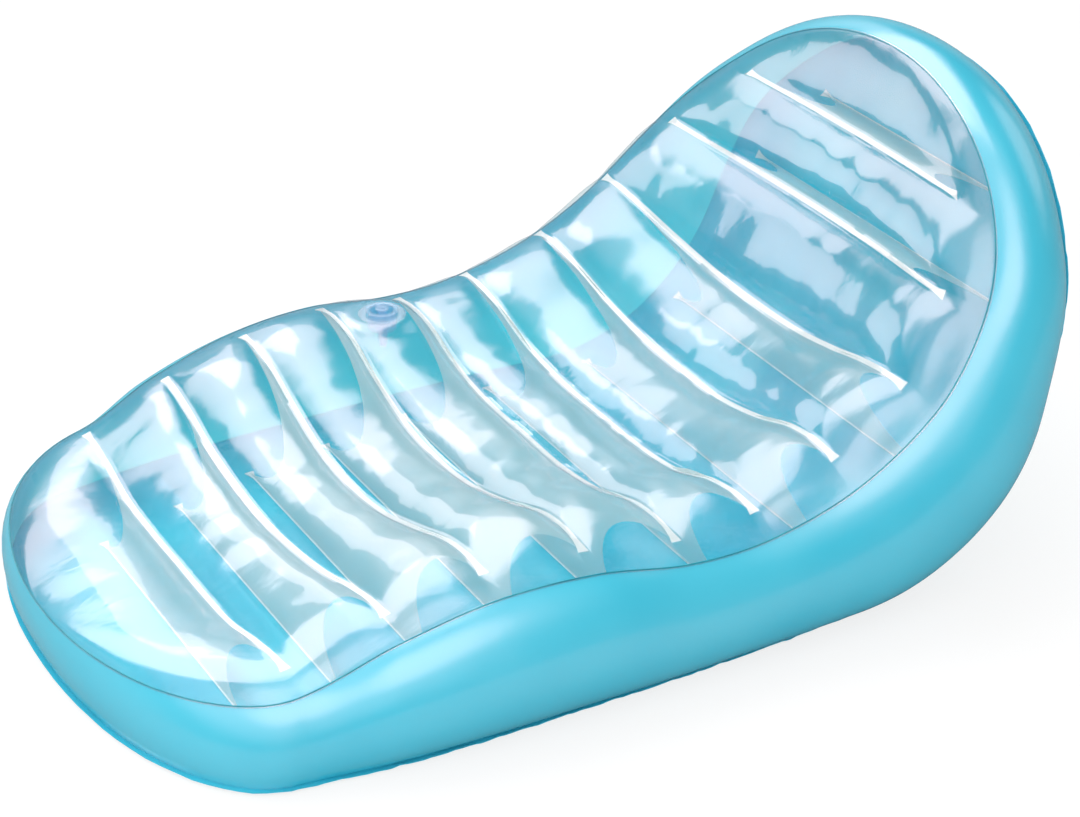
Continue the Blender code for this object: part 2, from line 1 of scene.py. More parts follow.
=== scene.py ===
"""An inflatable pool chair: its films, webs, welds and valve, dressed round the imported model."""
import math

import bpy
import numpy as np
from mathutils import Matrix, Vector
from mathutils.kdtree import KDTree


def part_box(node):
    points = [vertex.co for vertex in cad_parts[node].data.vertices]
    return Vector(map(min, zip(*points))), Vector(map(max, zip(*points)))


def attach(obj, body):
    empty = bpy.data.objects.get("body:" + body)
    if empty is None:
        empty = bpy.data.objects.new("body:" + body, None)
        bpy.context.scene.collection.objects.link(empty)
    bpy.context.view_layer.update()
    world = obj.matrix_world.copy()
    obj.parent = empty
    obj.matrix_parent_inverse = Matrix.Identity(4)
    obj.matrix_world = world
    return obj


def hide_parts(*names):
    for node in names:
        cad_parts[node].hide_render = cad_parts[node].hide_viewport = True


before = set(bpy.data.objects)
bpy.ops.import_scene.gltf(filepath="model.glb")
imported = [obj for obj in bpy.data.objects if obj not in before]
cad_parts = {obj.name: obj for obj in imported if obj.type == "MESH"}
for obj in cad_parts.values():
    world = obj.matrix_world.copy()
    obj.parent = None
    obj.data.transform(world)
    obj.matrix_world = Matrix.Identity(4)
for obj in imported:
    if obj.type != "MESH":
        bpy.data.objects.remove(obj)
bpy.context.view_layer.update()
MM = 0.001
# Joining a sheet's doubles moves its end points a little, but by less than this
SAME_PLACE = 0.02 * MM

# ---------------------------------------------------------------- camera
# The photograph looks down on the chair from beyond its near side, over the foot end. The place
# and angles were fitted to the ends of the ten weld bars.
CAMERA_PLACE = (2.55, -1.414, 1.80)
CAMERA_TURN, CAMERA_DIP = math.radians(60.45), math.radians(29.15)
LENS, SENSOR = 89.07, 36
bpy.ops.object.camera_add(location=CAMERA_PLACE,
                          rotation=(math.pi / 2 - CAMERA_DIP, 0, CAMERA_TURN))
camera = bpy.context.object
camera.data.lens, camera.data.sensor_width = LENS, SENSOR
camera.data.clip_start, camera.data.clip_end = 0.05, 60
bpy.context.scene.camera = camera

# ---------------------------------------------------------------- base sheet
# The bottom film: flat on the floor, up round the heel and up behind the back. It is cut from
# one piece of tinted film, and its edge is welded flat against the side wall's as a thin fin.
# Places along the chair are stations t: 0 at the foot, 1 to 10 at the webs and 11 at the head.
# Places across it are shares u, from -1 on the far side to 1 on the near side.
FILM = 0.4 * MM
GAP = 0.3 * MM
WEBS = 10
HEAD = WEBS + 1
HEAD_ROUNDS_FROM = 8
BASE_FLAT, HEEL_RADIUS, BACK_STRAIGHT = 885 * MM, 290 * MM, 353 * MM
BACK_ANGLE = math.radians(70)
BASE_START = -4 * MM
HEAD_AHEAD, HEAD_ABOVE = 103.3 * MM, 29 * MM
TOP_WIDTH = BASE_WIDTH = 784 * MM
BASE_CROWN, BASE_SEAM_LIFT = 8 * MM, 4 * MM
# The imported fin's width, and the width that is seen
BASE_FIN, FIN_SHOWN = 9 * MM, 6 * MM
FIN_WAVE, FIN_WAVE_LENGTH = 1.1 * MM, 34 * MM
# Half the width of the flat strip at each web, and how far the base is drawn up beside it
WELD_FLAT, DRAWN_SHARE = 13 * MM, 0.22
EDGE_SHARE = 0.10
# One value for each station: how far along the base it lies, the widths' shares at the base's
# and the top's seam, the top seam's place and height from the side, and the wall's bulge
BASE_STEPS = [0.000, 0.0956, 0.1693, 0.241, 0.3156, 0.3963, 0.484, 0.584, 0.6885, 0.8407,
              0.9184, 1.000]
BASE_SPREAD = [0.88, 0.918, 0.962, 0.978, 0.982, 0.985, 0.976, 0.955, 0.945, 0.948, 0.972, 0.975]
TOP_SPREAD = [0.82, 0.855, 0.898, 0.931, 0.964, 0.990, 1.000, 1.000, 0.985, 0.965, 0.965, 0.975]
TOP_STEPS = [(-0.007, 0.166), (0.142, 0.186), (0.242, 0.262), (0.342, 0.312), (0.444, 0.318),
             (0.546, 0.285), (0.638, 0.290), (0.740, 0.349), (0.832, 0.465), (0.909, 0.639),
             (0.961, 0.803), (1.000, 1.000)]
BULGE = [0.10, 0.20, 0.28, 0.30, 0.30, 0.30, 0.30, 0.30, 0.30, 0.30, 0.27, 0.21]
END_ROWS, CHAMBER_ROWS, BASE_COLUMNS = 18, 16, 48


def through(values, t):
    """A smooth curve through one value for each station."""
    values, t = np.asarray(values, float), np.asarray(t, float)
    last = len(values) - 1
    i = np.clip(np.floor(t).astype(int), 0, last - 1)
    f = t - i
    if values.ndim > 1:
        f = f[..., None]
    a, b = values[i], values[i + 1]
    before = np.where((i > 0)[..., None] if values.ndim > 1 else i > 0, values[i - 1], 2 * a - b)
    after_at = np.clip(i + 2, 0, last)
    inner = i + 2 <= last
    after = np.where(inner[..., None] if values.ndim > 1 else inner, values[after_at], 2 * b - a)
    bend = 2 * before - 5 * a + 4 * b - after
    twist = 3 * a - before - 3 * b + after
    return 0.5 * (2 * a + (b - before) * f + bend * f ** 2 + twist * f ** 3)


def base_travel(t):
    """How far along the base film each station lies."""
    heel = HEEL_RADIUS * BACK_ANGLE
    return through(BASE_STEPS, t) * (BASE_FLAT + heel + BACK_STRAIGHT)


def at(x, y, z):
    return np.stack(np.broadcast_arrays(x, y, z), -1).astype(float)


def ease(share):
    """0 to 1 with no slope at either end."""
    return share * share * (3 - 2 * share)


def unit(v):
    return v / np.maximum(np.linalg.norm(v, axis=-1, keepdims=True), 1e-12)


def base_line(t):
    """The base's middle: flat, round the heel, and straight up the back."""
    s = base_travel(t)
    heel = HEEL_RADIUS * BACK_ANGLE
    turn = np.clip(s - BASE_FLAT, 0, heel) / HEEL_RADIUS
    up = np.maximum(s - BASE_FLAT - heel, 0)
    flat = np.minimum(s, BASE_FLAT)
    y = BASE_START + flat + HEEL_RADIUS * np.sin(turn) + up * math.cos(BACK_ANGLE)
    return at(0, y + SHIFT, HEEL_RADIUS * (1 - np.cos(turn)) + up * math.sin(BACK_ANGLE))


def base_inward(t):
    """The way into the chair, square to the base."""
    turn = np.clip(base_travel(t) - BASE_FLAT, 0, HEEL_RADIUS * BACK_ANGLE) / HEEL_RADIUS
    return at(0, -np.sin(turn), np.cos(turn))


# The y origin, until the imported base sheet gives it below
SHIFT = 0
base_end = base_line(HEAD)


def seam_line(t):
    """The top seam's height and place, seen from the side."""
    reach, height = base_end[1] - HEAD_AHEAD, base_end[2] + HEAD_ABOVE
    line = through(TOP_STEPS, t)
    return at(0, line[..., 0] * reach + SHIFT, line[..., 1] * height)


def rise(t):
    """The way from the base to the top seam at a station."""
    return unit(seam_line(t) - base_line(t))


def end_round(t, power):
    """1 along the sides, falling to 0 round the foot and the head."""
    t = np.asarray(t, float)
    past = np.where(t < 1, 1 - t, np.maximum(t - HEAD_ROUNDS_FROM, 0) / (HEAD - HEAD_ROUNDS_FROM))
    return np.maximum(1 - past ** power, 0) ** (1 / power)


def top_half(t):
    return TOP_WIDTH / 2 * through(TOP_SPREAD, t) * end_round(t, 2.0)


def base_half(t):
    return BASE_WIDTH / 2 * through(BASE_SPREAD, t) * end_round(t, 2.1)


def station_gap(web):
    """The distance between the stations before and after a web."""
    return float(np.linalg.norm(seam_line(np.array(web + 1.0)) - seam_line(np.array(web - 1.0))))


# How far each web's flat strip reaches, as a share of a station
WELD_REACH = [0] + [WELD_FLAT / station_gap(web) for web in range(1, WEBS + 1)]


def base_point(t, u):
    """The base film, drawn up a little at each web and along its seam."""
    web = np.clip(np.round(t), 1, WEBS).astype(int)
    away = np.maximum(np.abs(t - web) - np.asarray(WELD_REACH)[web], 0)
    drawn = ease(np.maximum(1 - away / DRAWN_SHARE, 0))
    inside = np.clip((1 - np.abs(u)) / EDGE_SHARE, 0, 1)
    lift = BASE_CROWN * drawn * inside + BASE_SEAM_LIFT * (1 - inside)
    return (base_line(t) + rise(t) * lift[..., None]
            + at(u * base_half(t), 0, 0))


def ripple(x, length, seed):
    """A smooth uneven wave along x, about `length` from crest to crest: five sines of unlike
    lengths, the shorter the weaker."""
    waves = np.random.default_rng(seed)
    total = 0
    for k in range(5):
        pitch = length / (0.55 + 0.33 * k + waves.uniform(-0.08, 0.08))
        phase = waves.uniform(0, 2 * math.pi)
        total = total + np.sin(2 * math.pi * x / pitch + phase) / (1 + 0.35 * k)
    return total / 2.4


def cross_rows():
    """The cross rows shared by the sheets: dense at the rounded ends and beside the welds."""
    foot_last = 1 - WELD_REACH[1]
    angle = math.acos(1 - foot_last)
    rows = [0.0] + [1 - math.cos(angle * k / END_ROWS) for k in range(1, END_ROWS + 1)]
    for web in range(1, WEBS + 1):
        rows += [float(web), web + WELD_REACH[web]]
        if web < WEBS:
            low, high = rows[-1], web + 1 - WELD_REACH[web + 1]
            rows += [low + (high - low) * (0.5 - 0.5 * math.cos(math.pi * k / CHAMBER_ROWS))
                     for k in range(1, CHAMBER_ROWS + 1)]
    length = HEAD - HEAD_ROUNDS_FROM
    angle = math.acos((rows[-1] - HEAD_ROUNDS_FROM) / length)
    rows += [HEAD_ROUNDS_FROM + length * math.cos(angle * (1 - k / END_ROWS))
             for k in range(1, END_ROWS)]
    return np.array(rows + [float(HEAD)])


ROWS = cross_rows()
# The edge stations all round: foot, near side, head, far side
RING_T = np.concatenate([ROWS, ROWS[-2:0:-1]])
RING_SIDE = np.concatenate([[0], np.ones(len(ROWS) - 2), [0], -np.ones(len(ROWS) - 2)])


def top_seam(t, side):
    return seam_line(t) + at(side * top_half(t), 0, 0)


def base_seam(t, side):
    return base_line(t) + rise(t) * BASE_SEAM_LIFT + at(side * base_half(t), 0, 0)


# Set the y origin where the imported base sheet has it
SHIFT = float(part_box("base_sheet")[0].y - (base_line(np.array(0.0))[1] - BASE_FIN))


def new_grid(name, columns, rows):
    """A flat grid primitive, and the column and row number of each of its vertices."""
    bpy.ops.object.select_all(action="DESELECT")
    bpy.ops.mesh.primitive_grid_add(x_subdivisions=columns, y_subdivisions=rows, size=2)
    piece = bpy.context.object
    piece.name = piece.data.name = name
    flat = np.array([v.co for v in piece.data.vertices])
    column = np.round((flat[:, 0] + 1) / 2 * columns).astype(int)
    row = np.round((flat[:, 1] + 1) / 2 * rows).astype(int)
    return piece, column, row


def put(piece, points):
    piece.data.vertices.foreach_set("co", np.asarray(points, np.float32).ravel())
    piece.data.update()


def edit_all(piece, change, **how):
    """One edit-mode operator on the whole mesh."""
    bpy.context.view_layer.objects.active = piece
    bpy.ops.object.mode_set(mode="EDIT")
    bpy.ops.mesh.select_all(action="SELECT")
    change(**how)
    bpy.ops.object.mode_set(mode="OBJECT")


def join_doubles(piece, near=0.01 * MM):
    edit_all(piece, bpy.ops.mesh.remove_doubles, threshold=near)


def face_towards(piece, direction):
    """Turn the sheet's faces over if they point away from `direction`, one vector or one per face."""
    count = len(piece.data.polygons)
    normals, areas, centres = np.empty(count * 3), np.empty(count), np.empty(count * 3)
    piece.data.polygons.foreach_get("normal", normals)
    piece.data.polygons.foreach_get("area", areas)
    piece.data.polygons.foreach_get("center", centres)
    towards = direction(centres.reshape(-1, 3)) if callable(direction) else np.asarray(direction)
    if ((normals.reshape(-1, 3) * towards).sum(1) * areas).sum() < 0:
        edit_all(piece, bpy.ops.mesh.flip_normals)


def carry_edge_out(piece, start, *rings):
    """Extrude the edge that runs through the points `start` out to each ring in turn."""
    for ring in rings:
        tree = KDTree(len(start))
        for k, point in enumerate(start):
            tree.insert(point, k)
        tree.balance()
        for part in (*piece.data.edges, *piece.data.polygons):
            part.select = False
        for v in piece.data.vertices:
            v.select = tree.find(v.co)[2] < SAME_PLACE
        bpy.ops.object.mode_set(mode="EDIT")
        bpy.ops.mesh.select_mode(type="VERT")
        bpy.ops.mesh.select_mode(type="EDGE")
        bpy.ops.mesh.extrude_edges_move()
        bpy.ops.mesh.select_mode(type="VERT")
        bpy.ops.object.mode_set(mode="OBJECT")
        for v in piece.data.vertices:
            if v.select:
                v.co = ring[tree.find(v.co)[1]]
        start = ring


def make_film(piece, depth, offset=-1):
    shell = piece.modifiers.new("film", "SOLIDIFY")
    shell.thickness, shell.offset, shell.use_even_offset = depth, offset, False
    bpy.ops.object.modifier_apply(modifier="film")


def smooth(piece, angle=40):
    """Smooth shading but for edges sharper than that many degrees."""
    bpy.ops.object.select_all(action="DESELECT")
    piece.select_set(True)
    bpy.context.view_layer.objects.active = piece
    bpy.ops.object.shade_smooth_by_angle(angle=math.radians(angle))


def finish(piece, shader, slot, *nodes, body="chair"):
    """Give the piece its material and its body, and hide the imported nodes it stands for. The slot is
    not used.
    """
    piece.data.materials.clear()
    piece.data.materials.append(shader)
    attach(piece, body)
    if nodes:
        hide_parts(*nodes)


class Ring:
    """The side wall's arc at every station round the edge."""
    top, base = top_seam(RING_T, RING_SIDE), base_seam(RING_T, RING_SIDE)
    along = np.roll(top + base, -1, 0) - np.roll(top + base, 1, 0)
    chord = top - base
    up = unit(chord)
    out = unit(np.cross(along, up))
    length = np.linalg.norm(chord, axis=1)
    bulge = length * through(BULGE, RING_T)
    radius = (length ** 2 / 4 + bulge ** 2) / (2 * bulge)
    centre = (top + base) / 2 + out * (bulge - radius)[:, None]
    half_angle = np.arctan2(length / 2, radius - bulge)
    inside = base_inward(RING_T)
    level = unit(np.cross(np.roll(base, -1, 0) - np.roll(base, 1, 0), inside))
    run = np.concatenate([[0], np.cumsum(np.linalg.norm(np.diff(base, axis=0), axis=1))])

    @classmethod
    def arc(cls, share, inset=0.0):
        """share 0 is the top seam and 1 the base seam."""
        angle = (cls.half_angle * (1 - 2 * share))[:, None]
        radius = cls.radius[:, None] - inset
        return cls.centre + (cls.out * np.cos(angle) + cls.up * np.sin(angle)) * radius

    @classmethod
    def down(cls, drop, inset=0.0):
        """That far down the arc from the top seam."""
        return cls.arc(drop / (2 * cls.half_angle * cls.radius), inset)


EDGE_SHARES = (0.25, 0.6, 1.0)


def fin_ring(seam, share):
    """The fin's edge that share of its way out, with waves that grow from the seam."""
    wave = ripple(Ring.run, FIN_WAVE_LENGTH, 11) * FIN_WAVE * share ** 1.5
    return seam + Ring.level * FIN_SHOWN * share + wave[:, None] * Ring.inside


def down_and_back(centres):
    """The outer side of the base: under the chair, and behind its back from y = 0.4 on."""
    return at(0, np.where(centres[:, 1] > 0.4, 0.7, 0), -1)


base_sheet, column, row = new_grid("base_film_sheet", BASE_COLUMNS, len(ROWS) - 1)
put(base_sheet, base_point(ROWS[row], column / (BASE_COLUMNS / 2) - 1))
join_doubles(base_sheet)
carry_edge_out(base_sheet, Ring.base, *[fin_ring(Ring.base, share) for share in EDGE_SHARES])
face_towards(base_sheet, down_and_back)
make_film(base_sheet, FILM)
smooth(base_sheet)


def grain(look, pitch, stretch=(1, 1, 1), detail=3.0, distortion=0.0):
    """Noise on the piece's own coordinates, about `pitch` metres from spot to spot."""
    tree = look.node_tree
    coordinates = tree.nodes.new("ShaderNodeTexCoord")
    mapping = tree.nodes.new("ShaderNodeMapping")
    mapping.inputs["Scale"].default_value = [share / pitch for share in stretch]
    noise = tree.nodes.new("ShaderNodeTexNoise")
    noise.inputs["Scale"].default_value = 1.0
    noise.inputs["Detail"].default_value = detail
    noise.inputs["Distortion"].default_value = distortion
    tree.links.new(coordinates.outputs["Object"], mapping.inputs["Vector"])
    tree.links.new(mapping.outputs["Vector"], noise.inputs["Vector"])
    return noise


def tint(look, noise, shader, dark, light, low=0.35, high=0.65):
    """Colour that wanders between two tints."""
    ramp = look.node_tree.nodes.new("ShaderNodeValToRGB")
    ramp.color_ramp.elements[0].position, ramp.color_ramp.elements[0].color = low, dark
    ramp.color_ramp.elements[1].position, ramp.color_ramp.elements[1].color = high, light
    look.node_tree.links.new(noise.outputs["Fac"], ramp.inputs["Fac"])
    look.node_tree.links.new(ramp.outputs["Color"], shader.inputs["Base Color"])


def spread_gloss(look, noise, shader, least, most):
    """Roughness that wanders between two values, as handled film has."""
    span = look.node_tree.nodes.new("ShaderNodeMapRange")
    span.inputs["From Min"].default_value, span.inputs["From Max"].default_value = 0.3, 0.7
    span.inputs["To Min"].default_value, span.inputs["To Max"].default_value = least, most
    look.node_tree.links.new(noise.outputs["Fac"], span.inputs["Value"])
    look.node_tree.links.new(span.outputs["Result"], shader.inputs["Roughness"])


def wrinkle(look, height, depth, *shaders):
    """Surface relief `depth` metres high from a noise's height."""
    bump = look.node_tree.nodes.new("ShaderNodeBump")
    bump.inputs["Strength"].default_value = 1.0
    bump.inputs["Distance"].default_value = depth
    look.node_tree.links.new(height, bump.inputs["Height"])
    for shader in shaders:
        look.node_tree.links.new(bump.outputs["Normal"], shader.inputs["Normal"])


def solid_look(name, dark, light, patch, gloss_patch, rough, **sockets):
    """An opaque film's or weld's material: its tint and its gloss wander over the piece, in
    patches of those sizes. Other sockets are named with underscores for spaces."""
    look = bpy.data.materials.new(name)
    look.use_nodes = True
    shader = look.node_tree.nodes["Principled BSDF"]
    for socket, value in sockets.items():
        shader.inputs[socket.replace("_", " ")].default_value = value
    tint(look, grain(look, patch, detail=2), shader, dark, light)
    spread_gloss(look, grain(look, gloss_patch), shader, *rough)
    return look, shader


BASE_BLUE, BASE_DEEP = (0.0, 0.60, 0.77, 1), (0.0, 0.52, 0.71, 1)
base_look, shader = solid_look("tinted base film", BASE_DEEP, BASE_BLUE, 160 * MM, 30 * MM,
                               (0.20, 0.34), Specular_IOR_Level=0.12)
wrinkle(base_look, grain(base_look, 22 * MM, (1, 0.45, 1), 2).outputs["Fac"], 0.5 * MM, shader)
finish(base_sheet, base_look, "base_film", "base_sheet")

# ---------------------------------------------------------------- webs
# Ten cross webs of milky film tie the top to the base. Each has concave, arched free ends,
# and is welded under the top sheet and on to the base sheet by pressed white bars.
CROWN_MIDDLE, CROWN_SIDE, END_CROWN, FOOT_CROWN = 24 * MM, 14 * MM, 0.4, 0.75
# How flat the crowns are on top: with 2 they would be plain arches
CROWN_POWER, FOOT_POWER = 2.8, 2.4
WELD_WIDTH, BASE_WELD_WIDTH, WELD_TAIL, TAIL_LENGTH = 6.5 * MM, 3 * MM, 13 * MM, 22 * MM
WELD_DEPTH, WELD_STEPS, WELD_COLUMNS = 0.9 * MM, 72, 4
WEB_SWAY, WEB_SWAY_LENGTH = 0.9 * MM, 60 * MM
# The dished cross sections at stations 0 to 11, as shares of one height: at the middle, then at
# each knot towards the side
SECTION_HEIGHT = 40 * MM
KNOTS = (0.24, 0.47, 0.70, 0.84, 0.93)
SECTIONS = [(0.05, 0.10, 0.20, 0.30, 0.30, 0.20), (-0.20, -0.20, -0.10, 0.28, 0.42, 0.35),
            (-0.68, -0.55, -0.25, 0.25, 0.43, 0.33), (-1.00, -0.80, -0.25, 0.35, 0.43, 0.28),
            (-0.98, -0.80, -0.25, 0.43, 0.48, 0.28), (-0.48, -0.48, -0.18, 0.45, 0.48, 0.28),
            (-0.68, -0.65, -0.35, 0.45, 0.62, 0.45), (-0.85, -0.72, -0.15, 0.68, 0.80, 0.52),
            (-0.80, -0.65, -0.10, 0.60, 0.80, 0.60), (-0.30, -0.20, 0.10, 0.55, 0.70, 0.50),
            (0.00, 0.05, 0.20, 0.40, 0.45, 0.30), (0.00, 0.05, 0.10, 0.15, 0.15, 0.10)]
# Where each web's lower and upper welds end, as shares of the half width there
FOOT_ENDS = [0.592, 0.668, 0.736, 0.779, 0.836, 0.873, 0.880, 0.878, 0.837, 0.702]
BAR_ENDS = [0.90, 0.90, 0.905, 0.92, 0.92, 0.92, 0.91, 0.90, 0.86, 0.81]
# The arched free end's two handles, as shares of the upper weld's end and of the height
ARCH_UPPER, ARCH_LOWER = (0.52, 0.91), (0.38, 0.18)
ALL_KNOTS = np.array([-1, *[-k for k in KNOTS[::-1]], 0, *KNOTS, 1.0])
ALL_SECTIONS = np.array([[0, *row[:0:-1], row[0], *row[1:], 0] for row in SECTIONS])


def knot_weights(u):
    """How much each knot counts at u, on a smooth curve through the knots."""
    u = np.clip(np.asarray(u, float), -1, 1)
    n = len(ALL_KNOTS)
    k = np.clip(np.searchsorted(ALL_KNOTS, u, side="right") - 1, 0, n - 2)
    step = ALL_KNOTS[k + 1] - ALL_KNOTS[k]
    f = (u - ALL_KNOTS[k]) / step
    value = np.eye(n)
    slope = np.zeros((n, n))
    for j in range(n):
        lo, hi = max(j - 1, 0), min(j + 1, n - 1)
        if 0 < j < n - 1:
            left, right = ALL_KNOTS[j] - ALL_KNOTS[lo], ALL_KNOTS[hi] - ALL_KNOTS[j]
            slope[j] = ((value[j] - value[lo]) / left * right
                        + (value[hi] - value[j]) / right * left) / (left + right)
        else:
            slope[j] = (value[hi] - value[lo]) / (ALL_KNOTS[hi] - ALL_KNOTS[lo])
    f, step = f[..., None], step[..., None]
    return ((2 * f ** 3 - 3 * f ** 2 + 1) * value[k] + (f ** 3 - 2 * f ** 2 + f) * step * slope[k]
            + (3 * f ** 2 - 2 * f ** 3) * value[k + 1] + (f ** 3 - f ** 2) * step * slope[k + 1])


def section_height(t, u):
    """How far the dished film stands above its seams."""
    return SECTION_HEIGHT * (through(ALL_SECTIONS, t) * knot_weights(u)).sum(-1)


def chamber_place(t):
    """0 at the welds and at the ends' seams, and 0 to 1 between them."""
    t = np.asarray(t, float)
    i = np.clip(np.floor(t).astype(int), 0, HEAD - 1)
    reach = np.asarray(WELD_REACH + [0])
    low = np.where(i > 0, i + reach[i], 0.0)
    high = np.where(i + 1 < HEAD, i + 1 - reach[np.minimum(i + 1, HEAD)], float(HEAD))
    return np.clip((t - low) / (high - low), 0, 1)


def plain_top(t, u):
    """The top sheet before its puckers."""
    height = section_height(t, u) * end_round(t, 2.0)
    place = chamber_place(t)
    crown = CROWN_SIDE + (CROWN_MIDDLE - CROWN_SIDE) * (1 - u ** 2)
    crown = np.where(t > WEBS, crown * END_CROWN, crown)
    swell = 1 - np.abs(1 - 2 * place) ** np.where(t < 1, FOOT_POWER, CROWN_POWER)
    swell = swell * np.where(t < 1, FOOT_CROWN, 1)
    height = height + crown * swell * (1 - u ** 4)
    return seam_line(t) + rise(t) * height[..., None] + at(u * top_half(t), 0, 0)


def arch(start, end, high, low, steps):
    """The free end of a web: (half length, height) points from the bar's end to the base."""
    tall = high - low
    f = np.linspace(0, 1, steps + 1)[:, None]
    corners = np.array([(start, high), (start * ARCH_UPPER[0], low + tall * ARCH_UPPER[1]),
                        (start * ARCH_LOWER[0], low + tall * ARCH_LOWER[1]), (end, low)])
    return ((1 - f) ** 3 * corners[0] + 3 * f * (1 - f) ** 2 * corners[1]
            + 3 * f ** 2 * (1 - f) * corners[2] + f ** 3 * corners[3])


WEB_COLUMNS, WEB_ROWS = 60, 24
# The mirror's soft lobe is this much rougher than its firm one
SOFT_LOBE = 3.5
GLANCING_POWER = 5


def see_through(name, straight, colour, rough, opaque, gloss_least, gloss_most):
    """A film's material: some light goes straight on, some is held in its tint and scattered to
    both sides, and some is mirrored, more at a glancing angle, in a firm and a soft lobe."""
    look = bpy.data.materials.new(name)
    look.use_nodes = True
    tree = look.node_tree
    body = tree.nodes["Principled BSDF"]
    body.inputs["Base Color"].default_value = (*colour, 1)
    body.inputs["Roughness"].default_value = 0.5
    body.inputs["Specular IOR Level"].default_value = 0
    straight_on = tree.nodes.new("ShaderNodeBsdfTransparent")
    straight_on.inputs["Color"].default_value = (*straight, 1)
    held = tree.nodes.new("ShaderNodeMixShader")
    held.inputs[0].default_value = opaque
    lit_through = tree.nodes.new("ShaderNodeBsdfTranslucent")
    lit_through.inputs["Color"].default_value = (*colour, 1)
    scattered = tree.nodes.new("ShaderNodeMixShader")
    scattered.inputs[0].default_value = 0.5
    mirror = [tree.nodes.new("ShaderNodeBsdfGlossy") for _ in range(2)]
    for lobe, spread in zip(mirror, (rough, rough * SOFT_LOBE)):
        lobe.inputs["Roughness"].default_value = spread
        lobe.inputs["Color"].default_value = (1, 1, 1, 1)
    lobes = tree.nodes.new("ShaderNodeMixShader")
    facing = tree.nodes.new("ShaderNodeLayerWeight")
    facing.inputs["Blend"].default_value = 0.5
    steep = tree.nodes.new("ShaderNodeMath")
    steep.operation = "POWER"
    steep.inputs[1].default_value = GLANCING_POWER
    share = tree.nodes.new("ShaderNodeMath")
    share.operation = "MULTIPLY_ADD"
    share.inputs[1].default_value = gloss_most - gloss_least
    share.inputs[2].default_value = gloss_least
    surface = tree.nodes.new("ShaderNodeMixShader")
    for start, end in (
            (facing.outputs["Facing"], steep.inputs[0]), (steep.outputs[0], share.inputs[0]),
            (share.outputs[0], surface.inputs[0]), (straight_on.outputs[0], held.inputs[1]),
            (body.outputs[0], scattered.inputs[1]), (lit_through.outputs[0], scattered.inputs[2]),
            (scattered.outputs[0], held.inputs[2]), (held.outputs[0], surface.inputs[1]),
            (mirror[0].outputs[0], lobes.inputs[1]), (mirror[1].outputs[0], lobes.inputs[2]),
            (lobes.outputs[0], surface.inputs[2]),
            (surface.outputs[0], tree.nodes["Material Output"].inputs["Surface"])):
        tree.links.new(start, end)
    return look, body, held, mirror


MILKY_PALE, MILKY_GREEN = (0.91, 0.96, 0.96, 1), (0.81, 0.92, 0.92, 1)
web_look, body, held, mirror = see_through("milky web film", (0.95, 0.99, 0.98), MILKY_PALE[:3],
                                           rough=0.28, opaque=0.55, gloss_least=0.03, gloss_most=0.3)
tint(web_look, grain(web_look, 70 * MM, (1, 1, 0.5), 2), body, MILKY_GREEN, MILKY_PALE)
wrinkle(web_look, grain(web_look, 12 * MM, (1, 1, 0.12), 2).outputs["Fac"], 0.5 * MM, body, *mirror)
# A web is milkier towards its upper weld: its sheet's V runs from there to the base
MILK_AT_TOP, MILK_BELOW, MILK_FADES_BY = 0.9, 0.55, 0.55
tree = web_look.node_tree
place = tree.nodes.new("ShaderNodeUVMap")
across = tree.nodes.new("ShaderNodeSeparateXYZ")
milk = tree.nodes.new("ShaderNodeMapRange")
milk.inputs["From Max"].default_value = MILK_FADES_BY
milk.inputs["To Min"].default_value, milk.inputs["To Max"].default_value = MILK_AT_TOP, MILK_BELOW
tree.links.new(place.outputs["UV"], across.inputs[0])
tree.links.new(across.outputs["Y"], milk.inputs["Value"])
tree.links.new(milk.outputs["Result"], held.inputs[0])

WELD_WHITE, WELD_SHADE = (0.80, 0.85, 0.86, 1), (0.72, 0.78, 0.80, 1)
bar_look, shader = solid_look("pressed white weld", WELD_SHADE, WELD_WHITE, 30 * MM, 10 * MM,
                              (0.25, 0.45), IOR=1.53)
wrinkle(bar_look, grain(bar_look, 1.5 * MM, detail=1).outputs["Fac"], 0.12 * MM, shader)


def weld_bar(name, point, web, end_share, inwards, plain_width):
    """A pressed bar across the chair, against a sheet's inner face, with ends that flare like a
    fish's tail."""
    piece, column, row = new_grid(name, WELD_COLUMNS, WELD_STEPS)
    u = np.linspace(-end_share, end_share, WELD_STEPS + 1)
    t = np.full(WELD_STEPS + 1, float(web))
    before, after = point(t - WELD_REACH[web], u), point(t + WELD_REACH[web], u)
    middle = (before + after) / 2
    inward = unit(np.cross(np.gradient(middle, axis=0), after - before)) * inwards
    travel = np.concatenate([[0], np.cumsum(np.linalg.norm(np.diff(middle, axis=0), axis=1))])
    from_end = np.minimum(travel, travel[-1] - travel)
    flare = np.clip(1 - from_end / TAIL_LENGTH, 0, 1) ** 1.6
    width = plain_width + (WELD_TAIL - plain_width) * flare
    offset = (column / WELD_COLUMNS - 0.5) * width[row]
    put(piece, middle[row] + unit(after - before)[row] * offset[:, None] + inward[row] * (FILM + GAP))
    face_towards(piece, (0, 0, -inwards))
    make_film(piece, WELD_DEPTH)
    smooth(piece, 50)
    return piece


